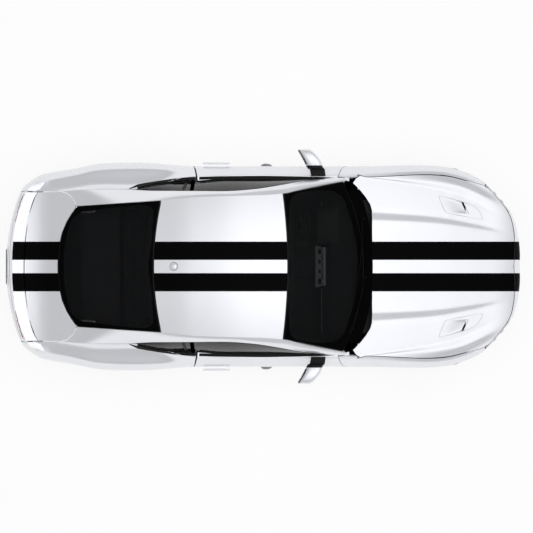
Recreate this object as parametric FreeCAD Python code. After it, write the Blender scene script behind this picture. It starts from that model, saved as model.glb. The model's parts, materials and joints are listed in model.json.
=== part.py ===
"""A two-door muscle car: hollow body of separate panels, opening doors, hood and trunk lid,
steered front wheels and four wheels that turn.

Millimetres. +X points to the front, +Y to the left, +Z up. The origin is on the ground,
under the middle of the car. The left side is made first and mirrored for the right side.
"""
import FreeCAD
import Part
import functools
import math
import os

from FreeCAD import Vector

# Overall size
overall_length = 4789.0
overall_width = 1916.0
roof_height = 1381.0
wheelbase = 2720.0
front_overhang = 875.0

# Wheels and tyres
front_track = 1582.0
rear_track = 1616.0
front_tyre_radius = 343.5
rear_tyre_radius = 351.5
front_tyre_width = 255.0
rear_tyre_width = 275.0
rim_radius = 241.3
rim_wall = 12.0
tyre_shoulder = 26.0
spoke_pairs = 5
spoke_spread = 12.0
hub_radius = 72.0
axle_radius = 26.0
axle_clearance = 0.06
disc_radius = 178.0
disc_thickness = 30.0
lug_circle = 57.2
lug_radius = 10.0
hinge_pin = 6.0
kingpin = 14.0

# Gaps and thicknesses
shut_gap = 6.0
seam = 0.4
glass_thickness = 5.0
skin = 18.0
hood_thickness = 20.0
lid_thickness = 24.0
roof_thickness = 28.0
door_depth = 132.0
bumper_thickness = 26.0
arch_gap = 45.0
floor_thickness = 26.0
floor_height = 172.0

# Levels
sill_bottom = 150.0
door_bottom = 300.0
bumper_split = 628.0

# Places along the car
door_front = 762.0
door_rear = -655.0
door_front_lean = 112.0
door_rear_lean = 58.0
door_rear_taper = 14.0
door_hinge_x = door_front + 50.0
door_hinge_y = 884.0
screen_base = 890.0
screen_top = 205.0
roof_rear = -950.0
rear_glass_base = -1823.0
hood_rear = 962.0
window_tip = -1190.0
fender_front = 2030.0
plate_face = -2366.0
plate_z = 640.0
plate_bolts = 178.0
plate_hole = 3.5
tail_corner = 690.0
hood_hinge_x = 850.0
hood_hinge_z = 925.0
lid_hinge_x = -1500.0
lid_hinge_z = 1060.0

nose = overall_length / 2
tail = -overall_length / 2
half_width = overall_width / 2
front_axle = nose - front_overhang
rear_axle = front_axle - wheelbase
front_wheel_y = front_track / 2
rear_wheel_y = rear_track / 2
front_arch = front_tyre_radius + arch_gap
rear_arch = rear_tyre_radius + arch_gap
kingpin_y = front_wheel_y - 62.0


# Curves and surfaces

def guide(*points):
    """A smooth function through the points that never overshoots them."""
    xs = [p[0] for p in points]
    ys = [p[1] for p in points]
    steps = [b - a for a, b in zip(xs, xs[1:])]
    slopes = [(b - a) / h for a, b, h in zip(ys, ys[1:], steps)]
    tangents = [slopes[0]]
    for before, after, h0, h1 in zip(slopes, slopes[1:], steps, steps[1:]):
        if before * after <= 0:
            tangents.append(0.0)
        else:
            w0, w1 = 2 * h1 + h0, h1 + 2 * h0
            tangents.append((w0 + w1) / (w0 / before + w1 / after))
    tangents.append(slopes[-1])

    def value(x):
        if x <= xs[0]:
            return ys[0] + tangents[0] * (x - xs[0])
        if x >= xs[-1]:
            return ys[-1] + tangents[-1] * (x - xs[-1])
        i = max(k for k in range(len(steps)) if xs[k] <= x)
        h = steps[i]
        r = (x - xs[i]) / h
        return (ys[i] * (1 + 2 * r) * (1 - r) ** 2 + tangents[i] * h * r * (1 - r) ** 2
                + ys[i + 1] * r * r * (3 - 2 * r) + tangents[i + 1] * h * r * r * (r - 1))

    return value


def spread(start, end, count):
    """Evenly spaced values from start to end."""
    return [start + (end - start) * i / (count - 1) for i in range(count)]


def shares(count):
    """Parameters from 0 to 1 for so many points."""
    return spread(0.0, 1.0, count)


def through(points, parameters):
    """The spline through the points at those parameters."""
    curve = Part.BSplineCurve()
    curve.interpolate(Points=points, Parameters=parameters)
    return curve


def spacing(grid):
    """Parameters for the rows of a grid, from the mean distance between them."""
    lengths = [0.0]
    for a, b in zip(grid, grid[1:]):
        lengths.append(lengths[-1] + sum(p.distanceToPoint(q) for p, q in zip(a, b)) / len(a))
    return [v / lengths[-1] for v in lengths]


def surface(grid, us, vs):
    """The face through a grid of points, with the same edges as any grid that shares its border."""
    rows = [through(row, vs) for row in grid]
    columns = [through([r.getPole(k + 1) for r in rows], us) for k in range(rows[0].NbPoles)]
    poles = [[c.getPole(i + 1) for c in columns] for i in range(columns[0].NbPoles)]
    face = Part.BSplineSurface()
    face.buildFromPolesMultsKnots(
        poles, columns[0].getMultiplicities(), rows[0].getMultiplicities(),
        columns[0].getKnots(), rows[0].getKnots(), False, False, columns[0].Degree, rows[0].Degree)
    return face.toShape()


def normals(grid):
    """The unit normal at each point of a grid."""
    rows, cols = len(grid), len(grid[0])
    out = []
    for i in range(rows):
        line = []
        for j in range(cols):
            du = grid[min(i + 1, rows - 1)][j] - grid[max(i - 1, 0)][j]
            dv = grid[i][min(j + 1, cols - 1)] - grid[i][max(j - 1, 0)]
            line.append(du.cross(dv).normalize())
        out.append(line)
    return out


def solid_of(faces):
    """One solid from faces that share their edges."""
    shape = Part.Compound(faces)
    shape.sewShape()
    solid = Part.Solid(shape.Shells[0])
    if solid.Volume < 0:
        solid.reverse()
    return solid


def between(outer, inner, us=None, vs=None):
    """The solid between two grids of the same size."""
    us = us or spacing(outer)
    vs = vs or spacing([list(column) for column in zip(*outer)])
    side = [0.0, 1.0]
    faces = [surface(outer, us, vs), surface(inner, us, vs)]
    for i in (0, -1):
        faces.append(surface([outer[i], inner[i]], side, vs))
    for j in (0, -1):
        faces.append(surface([[r[j] for r in outer], [r[j] for r in inner]], side, us))
    return solid_of(faces)


def inward(grid, depth):
    """The same grid moved towards the inside of the car, along its normals."""
    lines = normals(grid)
    i, j = len(grid) // 2, len(grid[0]) // 2
    outward_here = lines[i][j].dot(grid[i][j] - Vector(0, 0, 500))
    step = -depth if outward_here > 0 else depth
    return [[p + n * step for p, n in zip(row, line)] for row, line in zip(grid, lines)]


def slab(outer, depth):
    """A panel: the grid given a depth towards the inside of the car."""
    return between(outer, inward(outer, depth))


def outside(rows, depth):
    """The space outside a surface that lies so deep under a grid."""
    return between(inward(rows, -150), inward(rows, depth))


def behind(rows, depth, y=300):
    """The space inside the left side of the body, from so deep under a grid to a plane."""
    near = inward(rows, depth)
    return between(near, [[Vector(p.x, y, p.z) for p in row] for row in near])


def mirrored(shape):
    """The same shape on the other side of the car."""
    return shape.mirror(Vector(), Vector(0, 1, 0))


def both(shape):
    """A shape and its mirror image as solids that don't touch."""
    return Part.Compound(shape.Solids + mirrored(shape).Solids)


def whole(shape):
    """A shape without the edges that a fuse leaves."""
    joined = shape.removeSplitter()
    return joined if joined.isValid() else shape


def largest(shape):
    """The biggest solid of a shape."""
    return max(shape.Solids, key=lambda solid: solid.Volume)


def fused(*shapes):
    """All the shapes as one."""
    return whole(shapes[0].fuse(list(shapes[1:])))


def box(x0, x1, y0, y1, z0, z1):
    """A box from its limits."""
    return Part.makeBox(x1 - x0, y1 - y0, z1 - z0, Vector(x0, y0, z0))


def plan_prism(points, z0, z1):
    """A prism from an outline seen from above."""
    wire = Part.makePolygon([Vector(x, y, z0) for x, y in points + points[:1]])
    return Part.Face(wire).extrude(Vector(0, 0, z1 - z0))


def side_prism(points, y0, y1):
    """A prism from an outline seen from the side."""
    wire = Part.makePolygon([Vector(x, y0, z) for x, z in points + points[:1]])
    return Part.Face(wire).extrude(Vector(0, y1 - y0, 0))


def front_prism(points, x0, x1):
    """A prism from an outline seen from the front."""
    wire = Part.makePolygon([Vector(x0, y, z) for y, z in points + points[:1]])
    return Part.Face(wire).extrude(Vector(x1 - x0, 0, 0))


def rod(start, end, radius):
    """A round bar between two points."""
    return Part.makeCylinder(radius, (end - start).Length, start, end - start)


def across(x, z, radius, y0, y1):
    """A cylinder along Y."""
    return Part.makeCylinder(radius, y1 - y0, Vector(x, y0, z), Vector(0, 1, 0))


def across_x(y, z, radius, x0, x1):
    """A cylinder along X."""
    return Part.makeCylinder(radius, x1 - x0, Vector(x0, y, z), Vector(1, 0, 0))


def rounded(shape, radius, edges=None):
    """A shape with its edges rounded, or as it was if an edge is too short for that."""
    return shape.makeFillet(radius, edges or shape.Edges)


# The top surfaces, as heights over the plan

hood_line = guide((700, 1003), (850, 988), (1000, 970), (1250, 938), (1500, 900), (1750, 858),
                  (2000, 806), (2150, 769), (nose - 110, 728), (nose, 680))
hood_crown = 40.0
hood_half = 830.0
deck_line = guide((rear_glass_base - 420, 1018), (rear_glass_base - 311, 1006),
                  (rear_glass_base - 240, 1001), (rear_glass_base - 160, 1004),
                  (rear_glass_base - 80, 1019), (rear_glass_base, 1045),
                  (rear_glass_base + 93, 1072), (rear_glass_base + 183, 1100))
deck_drop = 22.0
deck_half = 668.0
roof_line = guide((roof_rear, roof_height - 64), (-600, roof_height - 14), (-300, roof_height),
                  (0, roof_height - 17), (screen_top, roof_height - 43))
roof_crown = 52.0
roof_half = 610.0


# The raised middle of the hood: half its width at its top and at its foot, and its height
dome_top = guide((700, 420), (894, 414), (1210, 406), (1540, 389), (1860, 350), (2040, 322), (2250, 280))
dome_foot = guide((700, 495), (894, 487), (1210, 470), (1540, 447), (1790, 409), (2040, 362), (2250, 320))
dome_rise = guide((700, 22), (1000, 22), (1500, 20), (1800, 15), (2040, 8), (2200, 0), (2300, 0))

# The step down from the hood's edges to its flat parts: where it starts and ends, and its depth
step_out = guide((700, 840), (911, 811), (1233, 780), (1555, 753), (1797, 708), (2006, 620), (2250, 500))
step_in = guide((700, 815), (911, 788), (1233, 750), (1555, 696), (1797, 636), (2006, 540), (2250, 420))
step_fall = guide((700, 3), (911, 6), (1233, 10), (1555, 15), (1797, 17), (2006, 12), (2200, 0), (2300, 0))


def eased(value, start, end):
    """0 before start, 1 after end, and a smooth rise between them."""
    share = min(1.0, max(0.0, (value - start) / (end - start)))
    return share * share * (3 - 2 * share)


def hood_z(x, y):
    side = abs(y)
    crowned = hood_line(x) - hood_crown * (side / hood_half) ** 2.4
    dome = dome_rise(x) * (1 - eased(side, dome_top(x), dome_foot(x)))
    fall = step_fall(x) * (1 - eased(side, step_in(x), step_out(x)))
    return crowned + dome - fall


def deck_z(x, y):
    return deck_line(x) - deck_drop * (abs(y) / deck_half) ** 2.4


def roof_z(x, y):
    return roof_line(x) - roof_crown * (abs(y) / roof_half) ** 2


# The outline of the body seen from above, from the middle of the tail to the middle of the nose

outline = through(
    [Vector(x, y, 0) for x, y in (
        (tail, 0), (tail + 20, 240), (tail + 62, 462),
        (tail + 118, 640), (tail + 180, 748), (tail + 275, 816),
        (rear_axle - 800, half_width - 96), (rear_axle - 570, half_width - 60),
        (rear_axle - 400, half_width - 25), (rear_axle - 220, half_width - 5),
        (rear_axle, half_width), (rear_axle + 180, half_width - 6),
        (rear_axle + 330, half_width - 20), (rear_axle + 500, half_width - 34),
        (-300, half_width - 38), (200, half_width - 38), (front_axle - 700, half_width - 37),
        (front_axle - 400, half_width - 33), (front_axle - 150, half_width - 25),
        (front_axle + 60, half_width - 28), (front_axle + 200, half_width - 47),
        (front_axle + 330, half_width - 84), (front_axle + 450, half_width - 136),
        (nose - 324, 748), (nose - 205, 620), (nose - 100, 488),
        (nose - 40, 330), (nose - 8, 160), (nose, 0))],
    shares(29))
OUTLINE_START, OUTLINE_END = outline.FirstParameter, outline.LastParameter


def station(x):
    """The outline's parameter where the side of the body is at x."""
    low, high = OUTLINE_START, OUTLINE_END
    for _ in range(60):
        middle = (low + high) / 2
        low, high = (middle, high) if outline.value(middle).x < x else (low, middle)
    return low


def outward(s):
    """The outline's outward direction."""
    along = outline.tangent(s)[0]
    return Vector(-along.y, along.x, 0).normalize()


# Profiles of the body's side at stations round it: height and distance in from the outline.
# The same point of each profile lies on the same line along the car.

profiles = [
    (OUTLINE_START, ((230, 60), (300, 30), (420, 6), (520, 0), (600, 2), (660, 20), (706, 62),
                     (760, 100), (840, 122), (910, 138), (955, 150), (1000, 166))),
    (station(tail + 180), ((230, 60), (300, 30), (420, 6), (520, 0), (600, 2), (660, 14), (710, 40),
                           (765, 66), (840, 88), (900, 104), (940, 118), (976, 142))),
    (station(rear_axle - 650), ((200, 66), (300, 34), (440, 12), (560, 3), (640, 0), (750, 13),
                                (830, 34), (892, 66), (928, 98), (950, 132), (978, 176), (1014, 223))),
    (station(rear_axle - 250), ((165, 72), (300, 38), (440, 14), (560, 3), (640, 0), (750, 10),
                                (832, 32), (892, 66), (922, 100), (940, 142), (975, 206), (1050, 268))),
    (station(rear_axle), ((165, 72), (300, 38), (440, 14), (560, 3), (640, 0), (750, 10),
                          (832, 32), (890, 64), (920, 98), (937, 140), (974, 212), (1060, 277))),
    (station(rear_axle + 300), ((160, 68), (300, 34), (440, 14), (560, 3), (650, 0), (750, 8),
                                (832, 26), (885, 52), (915, 82), (932, 116), (962, 168), (1030, 226))),
    (station(door_rear), ((150, 58), (300, 30), (440, 16), (560, 5), (660, 0), (750, 6),
                          (830, 22), (880, 44), (912, 66), (936, 84), (962, 104), (990, 126))),
    (station(0), ((150, 58), (300, 32), (440, 19), (560, 7), (660, 0), (750, 5),
                  (830, 20), (874, 38), (900, 54), (922, 68), (944, 84), (966, 106))),
    (station(door_front), ((150, 58), (300, 30), (440, 16), (560, 5), (660, 0), (745, 6),
                           (810, 22), (846, 38), (872, 54), (894, 72), (914, 92), (936, 118))),
    (station(front_axle - 150), ((150, 62), (300, 30), (440, 12), (560, 3), (650, 0), (720, 6),
                                 (775, 18), (812, 32), (838, 48), (858, 64), (874, 82), (888, 105))),
    (station(front_axle + 330), ((150, 70), (300, 30), (440, 8), (560, 0), (620, 0), (670, 6),
                                 (706, 16), (730, 26), (750, 38), (768, 52), (784, 70), (798, 92))),
    (station(nose - 265), ((150, 95), (260, 40), (380, 12), (500, 1), (570, 0), (614, 3),
                           (645, 7), (668, 11), (688, 16), (706, 22), (724, 29), (742, 38))),
    (OUTLINE_END, ((150, 95), (230, 35), (320, 8), (420, 0), (500, 0), (560, 7),
                   (604, 18), (634, 31), (660, 46), (684, 64), (706, 84), (728, 110))),
]
LINES = len(profiles[0][1])
lines_from = 400.0
height_lines = [guide(*[(s, points[k][0]) for s, points in profiles]) for k in range(LINES)]
inset_lines = [guide(*[(s, points[k][1]) for s, points in profiles]) for k in range(LINES)]
bottom_of = height_lines[0]
top_of = height_lines[-1]


@functools.lru_cache(None)
def profile_at(s):
    """Height and distance in of the profile at a station, as functions of the line's number."""
    heights = guide(*[(k, line(s)) for k, line in enumerate(height_lines)])
    insets = guide(*[(k, line(s)) for k, line in enumerate(inset_lines)])
    return heights, insets, outline.value(s), outward(s)


def side_point(s, line, extra=0.0):
    """A point of the body's side on a line, moved in by extra."""
    heights, insets, p, out = profile_at(s)
    p = p - out * (insets(line) + extra)
    return Vector(p.x, p.y, heights(line))


def line_at(s, z):
    """The number of the line at a height."""
    heights = profile_at(s)[0]
    low, high = 0.0, LINES - 1.0
    for _ in range(40):
        middle = (low + high) / 2
        low, high = (middle, high) if heights(middle) < z else (low, middle)
    return low


def side_grid(stations, low=None, high=None, count=12):
    """Points of the body's side between two heights, or from one of them to its top edge."""
    rows = []
    for s in stations:
        first = 0.0 if low is None else line_at(s, low)
        if high is None and (low is None or low < lines_from):
            lines = spread(first, 3, 4) + list(range(4, LINES))
        else:
            last = LINES - 1.0 if high is None else line_at(s, high)
            lines = spread(first, last, count)
        rows.append([side_point(s, line) for line in lines])
    return rows


def wrapped(rows):
    """Rows that end at the centre line, followed by their mirror images."""
    return rows + [[Vector(p.x, -p.y, p.z) for p in row] for row in reversed(rows[:-1])]


# Lines of the cabin, seen from above and from the side

belt_y = guide((window_tip, 681), (-1097, 722), (-920, 762), (-600, 793), (-350, 811), (0, 813),
               (320, 809), (646, 797), (760, 790))
tip_y = side_point(station(window_tip), LINES - 1).y
tip_z = side_point(station(window_tip), LINES - 1).z
rail_y = guide((window_tip, tip_y - 2), (-1000, 664), (-686, 655), (-340, 651), (-102, 666), (120, 702),
               (315, 743), (500, 773), (646, 793), (740, 800))
rail_z = guide((window_tip, tip_z + 4), (-1000, 1138), (-686, 1232), (-340, 1270), (-102, 1266),
               (120, 1222), (315, 1140), (500, 1040), (646, 954), (740, 900))
inner_y = guide((-1830, 530), (-1640, 534), (-1350, 548), (-888, 574), (-600, 597), (-350, 606),
                (0, 616), (165, 632), (363, 686), (524, 726), (705, 764), (760, 775))


def screen_edge(y, base):
    """A point of the windscreen's lower or upper edge."""
    if base:
        return Vector(screen_base - 184 * (y / 764) ** 2, y, 986 - 26 * (y / 764) ** 2)
    x = screen_top - 40 * (y / 632) ** 2
    return Vector(x, y, roof_z(x, y))


def rear_glass_edge(y, base):
    """A point of the rear window's lower or upper edge."""
    if base:
        x = rear_glass_base + 183 * (abs(y) / 534) ** 2.6
        return Vector(x, y, deck_z(x, y) + 2)
    x = roof_rear + 62 * (y / 574) ** 2
    return Vector(x, y, roof_z(x, y))


def screen_point(edge, base_half, top_half, across_share, up_share, bulge):
    """A point of a curved window between its two edges."""
    low = edge(base_half * across_share, True)
    high = edge(top_half * across_share, False)
    p = low + (high - low) * up_share
    rise = (high - low).cross(Vector(0, 1, 0)).normalize()
    rise = rise if rise.z > 0 else rise * -1
    return p + rise * bulge * 4 * up_share * (1 - up_share)


ACROSS = [-1.0, -0.85, -0.65, -0.35, 0.0, 0.35, 0.65, 0.85, 1.0]
screen_bulge = 16.0
rear_bulge = 24.0


def screen_grid(rows=7, margin=0.0):
    """Points of the windscreen's outer surface."""
    return [[screen_point(screen_edge, 764 - margin, 632 - margin, a, u, screen_bulge)
             for a in ACROSS] for u in spread(margin / 800, 1 - margin / 800, rows)]


def rear_glass_grid(rows=7, margin=0.0):
    """Points of the rear window's outer surface."""
    return [[screen_point(rear_glass_edge, 534 - margin, 574 - margin, a, u, rear_bulge)
             for a in ACROSS] for u in spread(margin / 900, 1 - margin / 900, rows)]


def inner_z(x):
    """Height of the cabin rail's inner edge, where it meets the roof or a window."""
    y = inner_y(x)
    if x < rear_glass_base + 183:
        return deck_z(x, y)
    if x < -888:
        top = rear_glass_edge(574, False)
        base = rear_glass_edge(534, True)
        u = (x - base.x) / (top.x - base.x)
        return base.z + u * (top.z - base.z) + rear_bulge * 4 * u * (1 - u) * 0.96
    if x < 165:
        return roof_z(x, y)
    top = screen_edge(632, False)
    base = screen_edge(764, True)
    u = (x - base.x) / (top.x - base.x)
    return base.z + u * (top.z - base.z) + screen_bulge * 4 * u * (1 - u) * 0.9


def lid_outline(gap):
    """Half of the trunk lid's outline seen from above, moved in by a gap."""
    front = []
    for y in (0, 150, 300, 400, 470, 515):
        front.append((rear_glass_edge(y, True).x - gap, y))
    corner = [(-1652 - gap, 545 - gap * 0.5), (-1690 - gap * 0.7, 606 - gap * 0.7),
              (-1742, 650 - gap), (-1800, deck_half - gap), (-2010, deck_half - gap)]
    rear = [(-2042 + gap, 620), (-2084 + gap, 500), (-2114 + gap, 320), (-2130 + gap, 150),
            (tail + 260.5 + gap, 0)]
    return front + corner + rear


# Body panels

@functools.lru_cache(None)
def fender_rows():
    """Points of the left front fender's outer surface."""
    xs = (door_front - 130, door_front - 50, door_front + 40, 900, 1050, 1200, 1370, front_axle, 1660,
          1780, 1880, 1960, 2040)
    return side_grid([station(x) for x in xs], low=sill_bottom + 60)


def make_fender():
    """The left front fender, from the door to the front bumper."""
    panel = slab(fender_rows(), skin)
    edge_bottom = door_front + shut_gap
    shape = side_prism([(edge_bottom, 100), (edge_bottom, 700),
                        (edge_bottom - door_front_lean, 960), (edge_bottom - door_front_lean, 1000),
                        (fender_front, 1000), (fender_front, bumper_split), (1700, bumper_split),
                        (1700, 100)], 400, 1000)
    panel = panel.common(shape)
    panel = panel.cut(across(front_axle, front_tyre_radius, front_arch, 300, 1100))
    panel = panel.cut(box(front_axle - 800, front_axle, 300, 1100, 0, door_bottom - seam))
    for z in door_hinge_z():
        panel = panel.cut(Part.makeCylinder(8 + shut_gap, hinge_leaf + 12, Vector(door_hinge_x, door_hinge_y, z - 6)))
    return panel.cut(hood_tool(0)).cut(hood_corner_swing())


def hood_corner_swing():
    """The space behind the fender's upper edge that the hood's rear corner sweeps."""
    points = [(x - 14, y + 6) for x, y in hood_points(0) if y > 740 and x < 880]
    points = [(points[0][0], 700)] + points + [(points[-1][0], 700)]
    high = fender_rows()[3][-1].z - skin / 3
    return plan_prism(points, high - 60, high)


def hood_points(gap):
    """The hood's outline seen from above: the edge that the sides give it, and its rear edge."""
    sides = []
    for s in spread(station(905), OUTLINE_END, 34):
        p = side_point(s, LINES - 1, gap)
        sides.append((p.x, p.y))
    rear = [(790 + gap * 0.7, 752 - gap), (852 + gap * 0.7, 684), (900 + gap, 622), (942 + gap, 556),
            (958 + gap, 500), (hood_rear - 6 + gap, 300), (hood_rear + gap, 0)]
    corner = [(818 + gap * 0.7, 796 - gap * 1.5), (862, 822 - gap * 1.5)]
    half = list(reversed(rear)) + corner + sides
    return half + [(x, -y) for x, y in reversed(half[1:-1])]


def hood_tool(gap):
    """Everything above and below the hood's outline."""
    return plan_prism(hood_points(gap), 500, 1300)


def make_hood():
    """The hood: a crowned panel with a raised middle, stepped edges and two vents."""
    outer = []
    for x in (740, 850, 970, 1100, 1240, 1380, 1520, 1660, 1790, 1910, 2020, 2120, 2210, 2310):
        row = []
        top, foot, step0, step1 = dome_top(x), dome_foot(x), step_in(x), step_out(x)
        for y in (0, 0.5 * top, top - 22, top, top + (foot - top) * 0.5, foot, foot + 22,
                  (foot + step0) / 2, step0 - 14, step0, (step0 + step1) / 2, step1, step1 + 14,
                  max(872.0, step1 + 40)):
            row.append(Vector(x, y, hood_z(x, y)))
        outer.append([Vector(p.x, -p.y, p.z) for p in reversed(row[1:])] + row)
    inner = [[p - Vector(0, 0, hood_thickness) for p in row] for row in outer]
    panel = between(outer, inner).common(hood_tool(shut_gap))
    lug = across(hood_hinge_x, hood_hinge_z, 13, 690, 704)
    arm = box(hood_hinge_x - 13, hood_hinge_x + 80, 690, 704, hood_hinge_z, 990)
    arm = arm.fuse(lug).cut(across(hood_hinge_x, hood_hinge_z, hinge_pin + axle_clearance, 680, 710))
    arm = arm.cut(hood_above())
    relief = across(hood_hinge_x, hood_hinge_z, 17, 704, 722)
    for cutter in vent_cutters() + [relief]:
        panel = panel.cut(cutter).cut(mirrored(cutter))
    return fused(panel, arm, mirrored(arm))


vent_depth = 12.0
vent_slot = 19.0


def vent_cutters():
    """The left vent in the hood: a ramp that sinks towards the front, and the slot at its end."""
    rear_out, rear_in = Vector(1579, 648, 0), Vector(1660, 487, 0)
    front_out, front_in = Vector(1806, 583, 0), Vector(1856, 478, 0)
    high, low = [], []
    for u in shares(5):
        above, below = [], []
        for v in shares(5):
            p = (rear_out + (front_out - rear_out) * u) * (1 - v)
            p = p + (rear_in + (front_in - rear_in) * u) * v
            side = 1 - (2 * v - 1) ** 8
            depth = (0.4 + vent_depth * eased(u, 0, 1)) * max(0.25, side)
            above.append(Vector(p.x, p.y, hood_z(p.x, p.y) + 30))
            below.append(Vector(p.x, p.y, hood_z(p.x, p.y) - depth))
        high.append(above)
        low.append(below)
    slot = [(p.x + dx, p.y) for p, dx in ((front_out, -vent_slot), (front_out, 0.0), (front_in, 0.0),
                                          (front_in, -vent_slot))]
    return [between(high, low), plan_prism(slot, 600, 1100)]


def hood_above():
    """The space above the middle of the hood's thickness."""
    xs = [740, 900, 1100, 1400]
    ys = [500, 600, 700, 800]
    low = [[Vector(x, y, hood_z(x, y) - hood_thickness / 2) for y in ys] for x in xs]
    return between([[p + Vector(0, 0, 300) for p in row] for row in low], low)


def make_roof():
    """The roof panel between the two rails and the two windows."""
    outer, inner = [], []
    for u in shares(15):
        row, low = [], []
        for side in (-1.0, -0.88, -0.65, -0.33, 0.0, 0.33, 0.65, 0.88, 1.0):
            x0 = rear_glass_edge(574 * side, False).x + shut_gap
            x1 = screen_edge(632 * side, False).x - shut_gap
            x = x0 + (x1 - x0) * u
            y = side * (inner_y(x) - 4 * seam)
            p = Vector(x, y, roof_z(x, y))
            lean = side ** 4
            out = rail_frame(x)[2]
            down = Vector(0, out.y * lean * (1 if side < 0 else -1), lean - 1 - out.z * lean)
            row.append(p)
            low.append(p + down * roof_thickness)
        outer.append(row)
        inner.append(low)
    return between(outer, inner)


rail_depth = 46.0


def rail_frame(x):
    """The rail's lower and upper edge at x, and its outward direction."""
    if x < window_tip:
        edge = side_point(station(x), LINES - 1)
        a = Vector(x, edge.y - 2, edge.z + 4 * max(0.0, 1 - (window_tip - x) / 200))
    else:
        a = Vector(x, rail_y(x), rail_z(x))
    b = Vector(x, inner_y(x), inner_z(x))
    return a, b, Vector(0, abs(b.z - a.z) + 4, abs(a.y - b.y)).normalize()


@functools.lru_cache(None)
def make_rail():
    """The left windscreen pillar, roof rail and rear pillar in one piece."""
    xs = [806, 752, 700, 600, 480, 360, 300, 240, 190, 120, 50, -50, -150, -250, -350, -500, -600, -700,
          -800, -900, -1000, -1150, -1300, -1450, -1600, -1720, -1822]
    outer, inner = [], []
    for x in xs:
        a, b, out = rail_frame(x)
        row = []
        for u in (0.0, 0.25, 0.5, 0.75, 1.0):
            row.append(a + (b - a) * u + out * 9 * 4 * u * (1 - u))
        outer.append(row)
        inner.append([p - out * rail_depth for p in row])
    rail = between(outer, inner)
    lid = [(x, y) for x, y in lid_outline(0)]
    lid = lid + [(-2134, -100), (lid[0][0], -100)]
    rail = rail.cut(plan_prism(lid, 800, 1200))
    door_top = [(x, top_of(station(x)) + shut_gap) for x in (300, 450, 600, door_front + shut_gap)]
    rail = rail.cut(side_prism(door_top + [(door_front + shut_gap, 700), (300, 700)], 600, 1000))
    rail = rail.cut(box(door_front + shut_gap, 1000, 600, 772, 700, 1200))
    rail = rail.cut(fender_block()).cut(quarter_block()).cut(slab(quarter_rows(), skin + seam))
    return largest(rail)


@functools.lru_cache(None)
def fender_block():
    """The fender's panel and all that lies outside it."""
    rows = fender_rows()
    return between([[Vector(p.x, 1000, p.z) for p in row] for row in rows], inward(rows, skin + seam))


@functools.lru_cache(None)
def quarter_block():
    """The quarter panel and all that lies outside it."""
    rows = quarter_rows()
    return between([[Vector(p.x, 1000, p.z) for p in row] for row in rows], inward(rows, skin + seam))


@functools.lru_cache(None)
def quarter_rows():
    """Points of the left rear quarter panel's outer surface."""
    xs = (door_rear + 80, -700, -790, -890, -1000, -1100, window_tip, -1300, -1420, -1560, -1700,
          -1840, -1960, -2060, tail + 264, tail + 215, tail + 180, tail + 145, tail + 110)
    return side_grid([station(x) for x in xs], low=sill_bottom + 60)


def make_quarter():
    """The left rear quarter panel, below the side window and round the wheel."""
    panel = slab(quarter_rows(), skin)
    edge_bottom = door_rear - shut_gap
    shape = side_prism([(edge_bottom, 100), (edge_bottom, 700),
                        (edge_bottom + door_rear_lean, 1010), (edge_bottom + door_rear_lean, 1200),
                        (tail - 100, 1200), (tail - 100, bumper_split), (-1500, bumper_split),
                        (-1500, 100)], 300, 1000)
    panel = panel.common(shape).cut(box(tail - 100, tail + 334, 300, tail_corner, 500, 1200))
    panel = panel.cut(across(rear_axle, rear_tyre_radius, rear_arch, 300, 1100))
    panel = panel.cut(box(rear_axle, 0, 300, 1100, 0, door_bottom - seam))
    lid = [(x, y) for x, y in lid_outline(0)]
    lid = lid + [(-2134, -100), (lid[0][0], -100)]
    panel = panel.cut(plan_prism(lid, 800, 1200))
    panel = panel.cut(box(tail + 300, tail + 390, 300, lip_edge + shut_gap, lip_under - shut_gap, 1200))
    return fused(panel, make_lip_tip())


def make_door():
    """The left door shell, as thick as the whole door."""
    xs = spread(door_rear - 30, door_front + 30, 9)
    outer = side_grid([station(x) for x in xs], low=door_bottom)
    inner = []
    for row in outer:
        line = []
        for p in row:
            line.append(Vector(p.x, min(p.y - 62, half_width - 38 - door_depth), p.z))
        inner.append(line)
    door = between(outer, inner)
    door = door.common(door_tool(0, 1200)).cut(door_swing())
    return fused(door, make_handle(), *make_leaves())


handle_rear = door_rear + 100.0
handle_front = door_rear + 345.0
handle_z = 806.0
handle_reach = half_width - 15.0


def make_handle():
    """The left door's pull handle, a bar on two feet."""
    bar = box(handle_rear, handle_front, handle_reach - 16, handle_reach, handle_z - 17, handle_z + 17)
    bar = rounded(bar, 7)
    feet = [box(x, x + 34, half_width - 90, handle_reach - 8, handle_z - 11, handle_z + 11)
            for x in (handle_rear + 6, handle_front - 40)]
    return bar.fuse(feet)


def door_tool(gap, top):
    """The door's outline seen from the side, a little narrower inside at its rear edge."""
    front, rear = door_front + gap, door_rear - gap
    outside = [(front, door_bottom), (front, 700), (front - door_front_lean, 960),
               (front - door_front_lean, top), (rear + door_rear_lean, top),
               (rear + door_rear_lean, 1010), (rear, 700), (rear, door_bottom)]
    inside = [(x if x > 0 else x + door_rear_taper, z) for x, z in outside]
    wires = []
    for y, points in ((1000, outside), (700, inside)):
        wires.append(Part.makePolygon([Vector(x, y, z) for x, z in points + points[:1]]))
    return Part.makeLoft(wires, True, True)


def door_hinge_z():
    """The heights of the lower and upper door hinge."""
    return door_bottom + 180, door_bottom + 390


hinge_leaf = 24.0
door_pin = 5.0


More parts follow.
